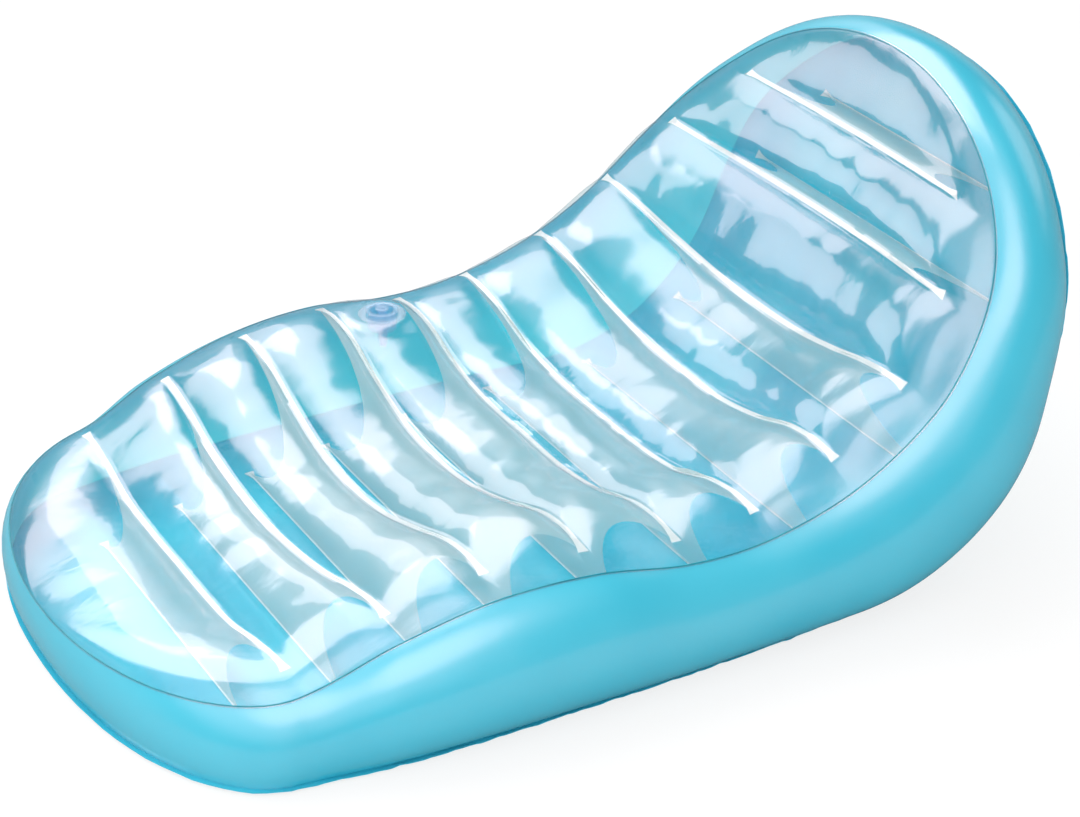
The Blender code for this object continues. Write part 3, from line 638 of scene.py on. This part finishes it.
for web in range(1, WEBS + 1):
    t = np.array(float(web))
    origin, lift, reach = base_line(t), rise(t), WELD_REACH[web]
    bar_share, foot_share = BAR_ENDS[web - 1], FOOT_ENDS[web - 1]
    bar_end, foot_end = bar_share * float(top_half(t)), foot_share * float(base_half(t))

    def top_height(x):
        """The height of the web's upper edge, in the upper bar's middle."""
        u = x / float(top_half(t))
        spot = (plain_top(t - reach + 0 * u, u) + plain_top(t + reach + 0 * u, u)) / 2
        return (spot - origin) @ lift - FILM - GAP - WELD_DEPTH / 2

    def base_height(x):
        """The height of its lower edge, in the lower bar's middle."""
        u = x / float(base_half(t))
        return (base_point(t + 0 * u, u) - origin) @ lift + FILM + GAP + WELD_DEPTH / 2

    piece, column, row = new_grid(f"web_film_{web:02d}", WEB_COLUMNS, WEB_ROWS)
    high, low = float(top_height(np.array(bar_end))), float(base_height(np.array(foot_end)))
    edge = arch(bar_end, foot_end, high, low, WEB_ROWS)
    share = (edge[:, 1] - low) / (high - low)
    side = column / (WEB_COLUMNS / 2) - 1
    x = side * edge[row, 0]
    bottom = base_height(side * foot_end)
    z = bottom + share[row] * (top_height(side * bar_end) - bottom)
    sway = np.sin(math.pi * row / WEB_ROWS) * ripple(x, WEB_SWAY_LENGTH, 100 + web) * WEB_SWAY
    put(piece, origin + at(x, 0, 0) + z[:, None] * lift + sway[:, None] * np.cross((1, 0, 0), lift))
    make_film(piece, FILM, 0)
    smooth(piece)
    finish(piece, web_look, "milky_film", f"web_{web:02d}")
    for name, point, end_share, inwards, width in (
            (f"top_weld_{web:02d}", plain_top, bar_share, -1, WELD_WIDTH),
            (f"base_weld_{web:02d}", base_point, foot_share, 1, BASE_WELD_WIDTH)):
        bar = weld_bar(name, point, web, end_share, inwards, width)
        finish(bar, bar_look, "milky_film")

# ---------------------------------------------------------------- top sheet
# The clear film that is sat on. It crowns between the webs, puckers beside every weld, and its
# edge is folded over and lapped on to the side wall.
SEAM_LAP = 4 * MM
TOP_COLUMNS = 160
# The length of an ordinary chamber, from weld to weld
CHAMBER_LENGTH = 105 * MM
# Broad lobes, and the folds beside each weld: (how far they reach, crest to crest, height, seed)
LOBE, LOBE_LENGTH, LOBE_SLANT = 0.7 * MM, 110 * MM, 0.3
FOLDS = ((12 * MM, 24 * MM, 0.14 * MM, 31), (30 * MM, 60 * MM, 0.2 * MM, 57))
DENT, DENT_LENGTHS = 0.6 * MM, (35 * MM, 110 * MM)
END_CALM, CALM_EDGE = 0.6, 0.06
# The valve sits in the film over the far shoulder, and its cup's rim stands just above the film
CUP_RIM = 3 * MM
plug_low, plug_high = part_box("valve_plug")
VALVE = np.array([(plug_low.x + plug_high.x) / 2, (plug_low.y + plug_high.y) / 2,
                  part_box("valve_base")[1].z - CUP_RIM])
VALVE_FLAT, VALVE_BLEND = 33 * MM, 58 * MM


def dents(x, y, seed):
    """An uneven field of broad dents: 14 sines of unlike lengths in every direction, the longer
    the deeper."""
    waves = np.random.default_rng(seed)
    total = 0
    for _ in range(14):
        pitch, angle = waves.uniform(*DENT_LENGTHS), waves.uniform(0, math.pi)
        travel = x * math.cos(angle) + y * math.sin(angle)
        phase = waves.uniform(0, 2 * math.pi)
        total = total + pitch / (70 * MM) * np.sin(2 * math.pi * travel / pitch + phase)
    return total / 2.6


def pucker(t, u, x):
    """Broad lobes across each chamber, and short folds that stand square to each weld."""
    place = chamber_place(t)
    chamber = np.clip(np.floor(t).astype(int), 0, HEAD - 1)
    total = np.zeros(np.broadcast(t, u).shape)
    slanted = x + LOBE_SLANT * (place - 0.5) * CHAMBER_LENGTH
    for k in range(HEAD):
        lobes = np.sin(math.pi * place) * ripple(slanted, LOBE_LENGTH, 700 + k) * LOBE
        total = total + np.where(chamber == k, lobes, 0)
    for edge, away in ((0, place * CHAMBER_LENGTH), (1, (1 - place) * CHAMBER_LENGTH)):
        for weld in range(1, WEBS + 1):
            for reach, length, height, seed in FOLDS:
                fold = away / reach * np.exp(1 - away / reach) * ripple(x, length, seed * weld + edge)
                total = total + np.where(chamber + edge == weld, fold * height, 0)
    total = total + np.sin(math.pi * place) ** 0.7 * dents(x, t * CHAMBER_LENGTH, 5) * DENT
    calm = np.where((t < 1) | (t > WEBS), END_CALM, 1.0)
    return total * calm * np.clip((1 - np.abs(u)) / CALM_EDGE, 0, 1)


def top_point(t, u):
    """The top sheet as it is seen: puckered, and flat round the valve."""
    spot = plain_top(t, u)
    away = np.hypot(spot[..., 0] - VALVE[0], spot[..., 1] - VALVE[1])
    free = ease(np.clip((away - VALVE_FLAT) / (VALVE_BLEND - VALVE_FLAT), 0, 1))
    spot = spot + rise(t) * (pucker(t, u, spot[..., 0]) * free)[..., None]
    spot[..., 2] = spot[..., 2] * free + VALVE[2] * (1 - free)
    return spot


top_sheet, column, row = new_grid("clear_top_film", TOP_COLUMNS, len(ROWS) - 1)
put(top_sheet, top_point(ROWS[row], column / (TOP_COLUMNS / 2) - 1))
join_doubles(top_sheet)
carry_edge_out(top_sheet, Ring.top, *[Ring.down(SEAM_LAP * share) for share in EDGE_SHARES])
face_towards(top_sheet, (0, -0.4, 1))
outer_faces = len(top_sheet.data.polygons)
make_film(top_sheet, FILM)
# Two empty slots carry the skins' numbers through the cut: 0 outside and 1 inside
for _ in range(2):
    top_sheet.data.materials.append(None)
for face in top_sheet.data.polygons[outer_faces:2 * outer_faces]:
    face.material_index = 1

# The hole that the valve's cup stands in
CUP_RADIUS = 20.5 * MM
bpy.ops.object.select_all(action="DESELECT")
bpy.ops.mesh.primitive_cylinder_add(vertices=72, radius=CUP_RADIUS + GAP, depth=30 * MM,
                                    location=VALVE)
punch = bpy.context.object
cut = top_sheet.modifiers.new("valve hole", "BOOLEAN")
cut.operation, cut.object, cut.solver = "DIFFERENCE", punch, "EXACT"
bpy.context.view_layer.objects.active = top_sheet
bpy.ops.object.modifier_apply(modifier="valve hole")
bpy.data.objects.remove(punch)
smooth(top_sheet, 50)

CLEAR_TINT, GLARE_TINT = (0.80, 0.93, 1.0), (1.0, 0.78, 0.78, 1)
top_look, body, held, mirror = see_through("clear film", (0.965, 0.995, 1.0), CLEAR_TINT,
                                           rough=0.09, opaque=0.02, gloss_least=0.18, gloss_most=0.42)
for lobe in mirror:
    lobe.inputs["Color"].default_value = GLARE_TINT
creases = grain(top_look, 16 * MM, (1, 0.6, 0.6), 3, 0.5).outputs["Fac"]
wrinkle(top_look, creases, 0.28 * MM, body, *mirror)
skin = np.empty(len(top_sheet.data.polygons), int)
top_sheet.data.polygons.foreach_get("material_index", skin)
finish(top_sheet, top_look, "clear_film", "top_sheet")
# Only the outer skin mirrors the studio
inner_film = see_through("clear film inner skin", (0.985, 1.0, 1.0), CLEAR_TINT,
                         rough=0.04, opaque=0.01, gloss_least=0.0, gloss_most=0.0)[0]
top_sheet.data.materials.append(inner_film)
top_sheet.data.polygons.foreach_set("material_index", skin)

# ---------------------------------------------------------------- valve
# A soft clear vinyl valve: a flange welded under the film with the cup through it, a wide
# stopper for letting the air out, and in it the inflation tube with its cap and check flap.
CUP_WALL, CUP_DEPTH, CUP_TAPER, CUP_STRAIGHT = 1.6 * MM, 22 * MM, 2.0 * MM, 6 * MM
FLANGE_RADIUS, FLANGE_DEPTH = 31.5 * MM, 1.2 * MM
LIP_OVERHANG, LIP_DEPTH, PLUG_WALL = 1.5 * MM, 1.5 * MM, 1.6 * MM
PLUG_RECESS, PLUG_DEPTH = 12 * MM, 18 * MM
TUBE_BORE, TUBE_WALL = 4.6 * MM, 1.6 * MM
SEAT_DEPTH, SEAT_BORE, SEAT_THICKNESS = 24 * MM, 3.2 * MM, 1.2 * MM
CONE_BORE, CONE_DEPTH, CONE_TIP, CONE_WALL = 6.5 * MM, 50 * MM, 3.0 * MM, 1.2 * MM
CAP_RADIUS, CAP_THICKNESS, CAP_PIN, CAP_PIN_TAPER = 9 * MM, 1.6 * MM, 5 * MM, 1.0 * MM
STRAP_WIDTH, STRAP_THICKNESS = 5 * MM, 1.2 * MM
EDGE_ROUND = 0.35 * MM
# Points nearer than this are joined, and a profile that reaches the axis stops this far from it
VALVE_NEAR, AXIS = 0.005 * MM, 0.01 * MM
TURNED_STEPS = 96


def bore(height):
    """The cup's tapered bore."""
    return CUP_RADIUS - CUP_WALL - CUP_TAPER * (CUP_RIM - height) / (CUP_RIM + CUP_DEPTH)


def rounded(profile, corners):
    """The closed (radius, height) profile with the numbered corners cut twice, as if moulded."""
    profile = np.array(profile)
    made = []
    for k, point in enumerate(profile):
        if k not in corners:
            made.append(point)
            continue
        first = point + unit(profile[k - 1] - point) * EDGE_ROUND
        last = point + unit(profile[(k + 1) % len(profile)] - point) * EDGE_ROUND
        made += [first, (first + last) / 4 + point / 2, last]
    return np.array(made)


def face_outwards(piece):
    """Turn a closed mesh's faces outwards."""
    edit_all(piece, bpy.ops.mesh.normals_make_consistent, inside=False)


def turned(name, profile, look, body, *nodes):
    """A moulded round part: its closed profile turned about the valve's axis."""
    piece, column, row = new_grid(name, TURNED_STEPS, len(profile))
    angle = 2 * math.pi * (column % TURNED_STEPS) / TURNED_STEPS
    radius, height = profile[row % len(profile)].T
    put(piece, VALVE + at(radius * np.cos(angle), radius * np.sin(angle), height))
    join_doubles(piece, VALVE_NEAR)
    face_outwards(piece)
    smooth(piece, 35)
    finish(piece, look, "soft_clear_vinyl", *nodes, body=body)


VINYL_PALE, VINYL_BLUE = (0.84, 0.92, 0.97, 1), (0.68, 0.82, 0.94, 1)
valve_look, body, held, mirror = see_through("soft clear vinyl", (0.86, 0.93, 0.98), VINYL_PALE[:3],
                                             rough=0.12, opaque=0.15, gloss_least=0.06, gloss_most=0.5)
tint(valve_look, grain(valve_look, 20 * MM, detail=2), body, VINYL_BLUE, VINYL_PALE)
wrinkle(valve_look, grain(valve_look, 4 * MM, detail=1).outputs["Fac"], 0.1 * MM, body, *mirror)

under = -(FILM + GAP)
turned("valve_flange_and_cup", rounded([
    (bore(CUP_RIM), CUP_RIM), (CUP_RADIUS, CUP_RIM), (CUP_RADIUS, under), (FLANGE_RADIUS, under),
    (FLANGE_RADIUS, under - FLANGE_DEPTH), (CUP_RADIUS, under - FLANGE_DEPTH),
    (CUP_RADIUS, -CUP_STRAIGHT), (CUP_RADIUS - CUP_TAPER, -CUP_DEPTH), (bore(-CUP_DEPTH), -CUP_DEPTH)],
    (0, 1, 3, 4)), valve_look, "chair", "valve_base")

lip_low = CUP_RIM + GAP
lip_top = lip_low + LIP_DEPTH
lip = CUP_RADIUS + LIP_OVERHANG
tube = TUBE_BORE + TUBE_WALL
seat_low = -SEAT_DEPTH - SEAT_THICKNESS
foot = bore(-PLUG_DEPTH) - GAP
recess = foot - PLUG_WALL
cone = CONE_BORE + CONE_WALL
turned("valve_stopper", rounded([
    (lip, lip_low), (lip, lip_top), (recess, lip_top), (recess, -PLUG_RECESS), (tube, -PLUG_RECESS),
    (tube, lip_top), (TUBE_BORE, lip_top), (TUBE_BORE, -SEAT_DEPTH), (SEAT_BORE, -SEAT_DEPTH),
    (SEAT_BORE, seat_low), (CONE_BORE, seat_low), (CONE_TIP, -CONE_DEPTH),
    (CONE_TIP + CONE_WALL, -CONE_DEPTH), (cone, seat_low), (cone, -PLUG_DEPTH),
    (foot, -PLUG_DEPTH), (bore(CUP_RIM) - GAP, lip_low)],
    (0, 1, 2, 5, 6)), valve_look, "plug", "valve_plug")

cap_low = lip_top + GAP
cap_top = cap_low + CAP_THICKNESS
pin = TUBE_BORE - GAP
turned("tube_cap", rounded([
    (AXIS, cap_top), (CAP_RADIUS, cap_top), (CAP_RADIUS, cap_low), (pin, cap_low),
    (pin - CAP_PIN_TAPER, cap_low - CAP_PIN), (AXIS, cap_low - CAP_PIN)], (1, 2)),
    valve_look, "cap", "inflation_cap")

# The cap's strap: a flat tongue from under the cap to its rounded root on the stopper's lip. The
# rounding takes a sixth of the length and starts at a seventh of the width.
STRAP_STEPS, STRAP_SIDES, SQUARENESS = 14, 12, 0.35
ROOT_SHARE, ROOT_START = 1 / 6, 0.02


def squared(wave):
    """A wave with flatter tops, which makes a round section nearly oblong."""
    return np.sign(wave) * np.abs(wave) ** SQUARENESS


strap, column, row = new_grid("cap_strap", STRAP_STEPS, STRAP_SIDES)
around, lengthways = 2 * math.pi * (row % STRAP_SIDES) / STRAP_SIDES, column / STRAP_STEPS
from_round = 1 - np.minimum(lengthways / ROOT_SHARE, 1)
root_round = np.sqrt(np.maximum(1 - from_round ** 2, ROOT_START))
strap_root, strap_end = -(recess + lip + STRAP_THICKNESS) / 2, -CAP_RADIUS / 2
put(strap, VALVE + at(strap_root + (strap_end - strap_root) * lengthways,
                      STRAP_WIDTH / 2 * root_round * squared(np.cos(around)),
                      cap_low + STRAP_THICKNESS / 2 * (1 + root_round * squared(np.sin(around)))))
join_doubles(strap, VALVE_NEAR)
bpy.ops.object.mode_set(mode="EDIT")
bpy.ops.mesh.select_all(action="DESELECT")
bpy.ops.mesh.select_non_manifold(extend=False)
bpy.ops.mesh.edge_face_add()
bpy.ops.object.mode_set(mode="OBJECT")
face_outwards(strap)
smooth(strap, 35)
finish(strap, valve_look, "soft_clear_vinyl", body="cap")

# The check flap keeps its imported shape
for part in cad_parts["check_flap"].material_slots:
    part.material = valve_look

# ---------------------------------------------------------------- side wall
# One band of pearly tinted film all round, blown out between its two seams. Its lower edge is
# welded to the base sheet's fin, and a thin pressed line runs round its upper seam.
WALL_STEPS, EDGE_DROP = 22, 1.2 * MM
wall, column, row = new_grid("side_wall_film", len(RING_T), WALL_STEPS)
inset = FILM + GAP
fold = Ring.base + Ring.inside * (FILM + inset)
shares = np.linspace(0, 1, WALL_STEPS + 1)[1:-1]
arcs = np.array([Ring.down(EDGE_DROP, inset), *[Ring.arc(share, inset) for share in shares], fold])
put(wall, arcs[row, column % len(RING_T)])
join_doubles(wall)
carry_edge_out(wall, fold, *[fin_ring(fold, share) for share in EDGE_SHARES])


def from_middle(centres):
    """Level, and away from the chair's middle line, which runs from y = -0.4 to 0.4."""
    return centres * (1, 1, 0) - at(0, np.clip(centres[:, 1], -0.4, 0.4), 0)


face_towards(wall, from_middle)
outer_faces = len(wall.data.polygons)
make_film(wall, FILM)
smooth(wall)

TURQUOISE, TURQUOISE_DEEP = (0.045, 0.51, 0.68, 1), (0.025, 0.475, 0.65, 1)
wall_look, shader = solid_look("pearly tinted film", TURQUOISE_DEEP, TURQUOISE, 220 * MM, 50 * MM,
                               (0.17, 0.24), IOR=2.35, Specular_Tint=(1.0, 0.76, 0.72, 1))
wrinkle(wall_look, grain(wall_look, 18 * MM, detail=2).outputs["Fac"], 0.12 * MM, shader)
finish(wall, wall_look, "turquoise_film", "side_wall")

# Only the outer face is pearly. The inner face is painted brighter and more saturated than the outer
# face, as painted light that stands in for light coming through the film
LIT_THROUGH_INSIDE, LIT_THROUGH_INSIDE_DEEP = (0.03, 0.80, 0.90, 1), (0.02, 0.72, 0.84, 1)
painted_light_inner_look = solid_look("tinted film inner face with painted through-light", LIT_THROUGH_INSIDE_DEEP, LIT_THROUGH_INSIDE, 150 * MM, 30 * MM,
                        (0.25, 0.40), Specular_IOR_Level=0.12)[0]
wall.data.materials.append(painted_light_inner_look)
for face in wall.data.polygons[outer_faces:2 * outer_faces]:
    face.material_index = 1

# The pressed line of the upper weld: a thin cord let into the film
LINE_RADIUS, LINE_SIDES, LINE_DROP, LINE_PROUD = 0.8 * MM, 8, 1.6 * MM, 0.1 * MM
LINE_BLUE, LINE_DEEP = (0.01, 0.32, 0.40, 1), (0.0, 0.22, 0.30, 1)
line, column, row = new_grid("seam_weld_line", len(RING_T), LINE_SIDES)
angle = 2 * math.pi * (row % LINE_SIDES) / LINE_SIDES
station = column % len(RING_T)
put(line, Ring.down(LINE_DROP, -LINE_PROUD)[station]
    + Ring.out[station] * (LINE_RADIUS * np.cos(angle))[:, None]
    + Ring.up[station] * (LINE_RADIUS * np.sin(angle))[:, None])
join_doubles(line)
face_outwards(line)
smooth(line, 60)
line_look = solid_look("pressed seam line", LINE_DEEP, LINE_BLUE, 50 * MM, 4 * MM, (0.3, 0.45))[0]
finish(line, line_look, "turquoise_film")

# ---------------------------------------------------------------- floor, lamps and world
# A plain white studio. The world holds a wide soft box over the far side and three soft glows.
# Two fill lamps that mirrors don't see light the near side and the foot, and a card that only
# mirrors see lights the back's film.
bpy.ops.object.select_all(action="DESELECT")
bpy.ops.mesh.primitive_plane_add(size=40, location=(0, 0, -0.5 * MM))
floor = bpy.context.object
floor.name = "studio_floor"
# In mirrors the floor is darker than it looks from the camera
FLOOR_WHITE, FLOOR_MIRRORED = (0.90, 0.885, 0.88, 1), (0.30, 0.30, 0.30, 1)
BOUNCE_SHARE, PAPER_GLOW = 0.75, 0.8
floor_look = bpy.data.materials.new("white floor")
floor_look.use_nodes = True
tree = floor_look.node_tree
shader = tree.nodes["Principled BSDF"]
shader.inputs["Roughness"].default_value = 0.9
shader.inputs["Specular IOR Level"].default_value = 0
ray = tree.nodes.new("ShaderNodeLightPath")
paint = tree.nodes.new("ShaderNodeMix")
paint.data_type = "RGBA"
paint.inputs["A"].default_value, paint.inputs["B"].default_value = FLOOR_MIRRORED, FLOOR_WHITE
bounce = tree.nodes.new("ShaderNodeMath")
bounce.operation = "MULTIPLY_ADD"
bounce.inputs[1].default_value = BOUNCE_SHARE
tree.links.new(ray.outputs["Is Diffuse Ray"], bounce.inputs[0])
tree.links.new(ray.outputs["Is Camera Ray"], bounce.inputs[2])
tree.links.new(bounce.outputs[0], paint.inputs["Factor"])
tree.links.new(paint.outputs["Result"], shader.inputs["Base Color"])
whiten = tree.nodes.new("ShaderNodeMath")
whiten.operation = "MULTIPLY"
whiten.inputs[1].default_value = PAPER_GLOW
white = tree.nodes.new("ShaderNodeEmission")
paper = tree.nodes.new("ShaderNodeMixShader")
tree.links.new(ray.outputs["Is Camera Ray"], whiten.inputs[0])
tree.links.new(whiten.outputs[0], paper.inputs[0])
tree.links.new(shader.outputs[0], paper.inputs[1])
tree.links.new(white.outputs[0], paper.inputs[2])
tree.links.new(paper.outputs[0], tree.nodes["Material Output"].inputs["Surface"])
floor.data.materials.append(floor_look)

world = bpy.data.worlds.new("studio")
bpy.context.scene.world = world
world.use_nodes = True
tree = world.node_tree
tree.nodes["Background"].inputs["Color"].default_value = (1, 1, 1, 1)


def smooth_range(value, low, high, start, end):
    """Carries a value smoothly from `start` at `low` to `end` at `high`."""
    span = tree.nodes.new("ShaderNodeMapRange")
    span.interpolation_type = "SMOOTHSTEP"
    span.inputs["From Min"].default_value, span.inputs["From Max"].default_value = low, high
    span.inputs["To Min"].default_value, span.inputs["To Max"].default_value = start, end
    tree.links.new(value, span.inputs["Value"])
    return span.outputs["Result"]


def work_out(operation, *values):
    """One Math node over sockets or plain numbers."""
    node = tree.nodes.new("ShaderNodeMath")
    node.operation = operation
    for socket, value in zip(node.inputs, values):
        if isinstance(value, (int, float)):
            socket.default_value = value
        else:
            tree.links.new(value, socket)
    return node.outputs[0]


def glow(direction, low, high, strength):
    """A round patch of light with soft edges, towards that direction."""
    towards = tree.nodes.new("ShaderNodeVectorMath")
    towards.operation = "DOT_PRODUCT"
    towards.inputs[1].default_value = Vector(direction).normalized()
    tree.links.new(around, towards.inputs[0])
    return smooth_range(towards.outputs["Value"], low, high, 0.0, strength)


def keep_between(light, dark_from, full_from, full_to, dark_to):
    """Fade a light out towards both sides, at those azimuths in degrees."""
    grow = smooth_range(azimuth, math.radians(dark_from), math.radians(full_from), 0.0, 1.0)
    fade = smooth_range(azimuth, math.radians(full_to), math.radians(dark_to), 1.0, 0.0)
    return work_out("MULTIPLY", work_out("MULTIPLY", light, grow), fade)


# The studio round the chair: a pale backdrop low down, brighter on the far side, a very wide soft
# box over the far side with a firm lower edge and a faint skirt under it, and the glows. Heights
# are sines of the elevation, and azimuth 90 is the near side.
DARK_STUDIO, BACKDROP, SOFT_BOX, SKIRT = 0.20, 0.30, 3.4, 0.3 * 3.4
FIRM_LOW, FIRM_HIGH = math.sin(math.radians(31)), math.sin(math.radians(36))
BOX_SIDES, SKIRT_SIDES = (-152, -128, -62, -44), (-88, -72, -64, -56)
# Each glow's direction, the cosines at its rim and where it is full, and its strength
GLOWS = (((0.36, -0.40, 0.84), 0.60, 0.97, 0.8), ((0.44, -0.235, 0.866), 0.90, 0.985, 1.6),
         ((-0.07, 0.82, 0.57), 0.93, 0.985, 0.9))
around = tree.nodes.new("ShaderNodeTexCoord").outputs["Generated"]
parts = tree.nodes.new("ShaderNodeSeparateXYZ")
tree.links.new(around, parts.inputs[0])
height = parts.outputs["Z"]
azimuth = work_out("ARCTAN2", parts.outputs["X"], parts.outputs["Y"])
firm_edge = smooth_range(height, FIRM_LOW, FIRM_HIGH, 0.0, SOFT_BOX)
skirt = keep_between(smooth_range(height, 0.10, 0.45, 0.0, SKIRT), *SKIRT_SIDES)
soft_box = work_out("MULTIPLY", work_out("MAXIMUM", firm_edge, skirt),
                    smooth_range(height, 0.93, 1.0, 1.0, 0.5))
backdrop = work_out("MULTIPLY", smooth_range(height, 0.12, 0.50, BACKDROP, 0.0),
                    smooth_range(parts.outputs["X"], -0.5, 0.3, 1.0, 0.15))
light = work_out("ADD", keep_between(soft_box, *BOX_SIDES), backdrop)
for direction, rim, full, brightness in GLOWS:
    light = work_out("ADD", light, glow(direction, rim, full, brightness))
light = work_out("ADD", light, DARK_STUDIO)
ray = tree.nodes.new("ShaderNodeLightPath")
strength = tree.nodes.new("ShaderNodeMapRange")
strength.inputs["To Max"].default_value = 1.0
tree.links.new(light, strength.inputs["To Min"])
tree.links.new(ray.outputs["Is Camera Ray"], strength.inputs["Value"])
tree.links.new(strength.outputs["Result"], tree.nodes["Background"].inputs["Strength"])


def area_lamp(name, place, facing, size, radiance):
    """A flat oblong lamp that the camera doesn't see."""
    bpy.ops.object.light_add(type="AREA", location=place)
    made = bpy.context.object
    made.name = name
    made.data.shape = "RECTANGLE"
    made.data.size, made.data.size_y = size
    made.data.energy = radiance * math.pi * size[0] * size[1]
    made.rotation_mode = "QUATERNION"
    made.rotation_quaternion = facing.to_track_quat("-Z", "Y")
    made.visible_camera = False
    return made


AIM, FILL_DISTANCE = Vector((0, 0, 0.2)), 3.2
for name, side, above, size, radiance in (("near_fill_lamp", 105, 18, (2.6, 1.4), 2.7),
                                          ("foot_fill_lamp", 178, 36, (2.4, 1.4), 2.1)):
    side, above = math.radians(side), math.radians(above)
    towards = Vector((math.sin(side) * math.cos(above), math.cos(side) * math.cos(above),
                      math.sin(above)))
    fill = area_lamp(name, AIM + towards * FILL_DISTANCE, -towards, size, radiance)
    fill.visible_glossy = False
card = area_lamp("back_reflector_card", (-0.85, -0.22, 0.68), Vector((0.80, 0.60, -0.05)),
                 (0.50, 0.66), 2.5)
card.visible_diffuse = False

scene = bpy.context.scene
scene.view_settings.view_transform = "Standard"
scene.cycles.transparent_max_bounces = 48
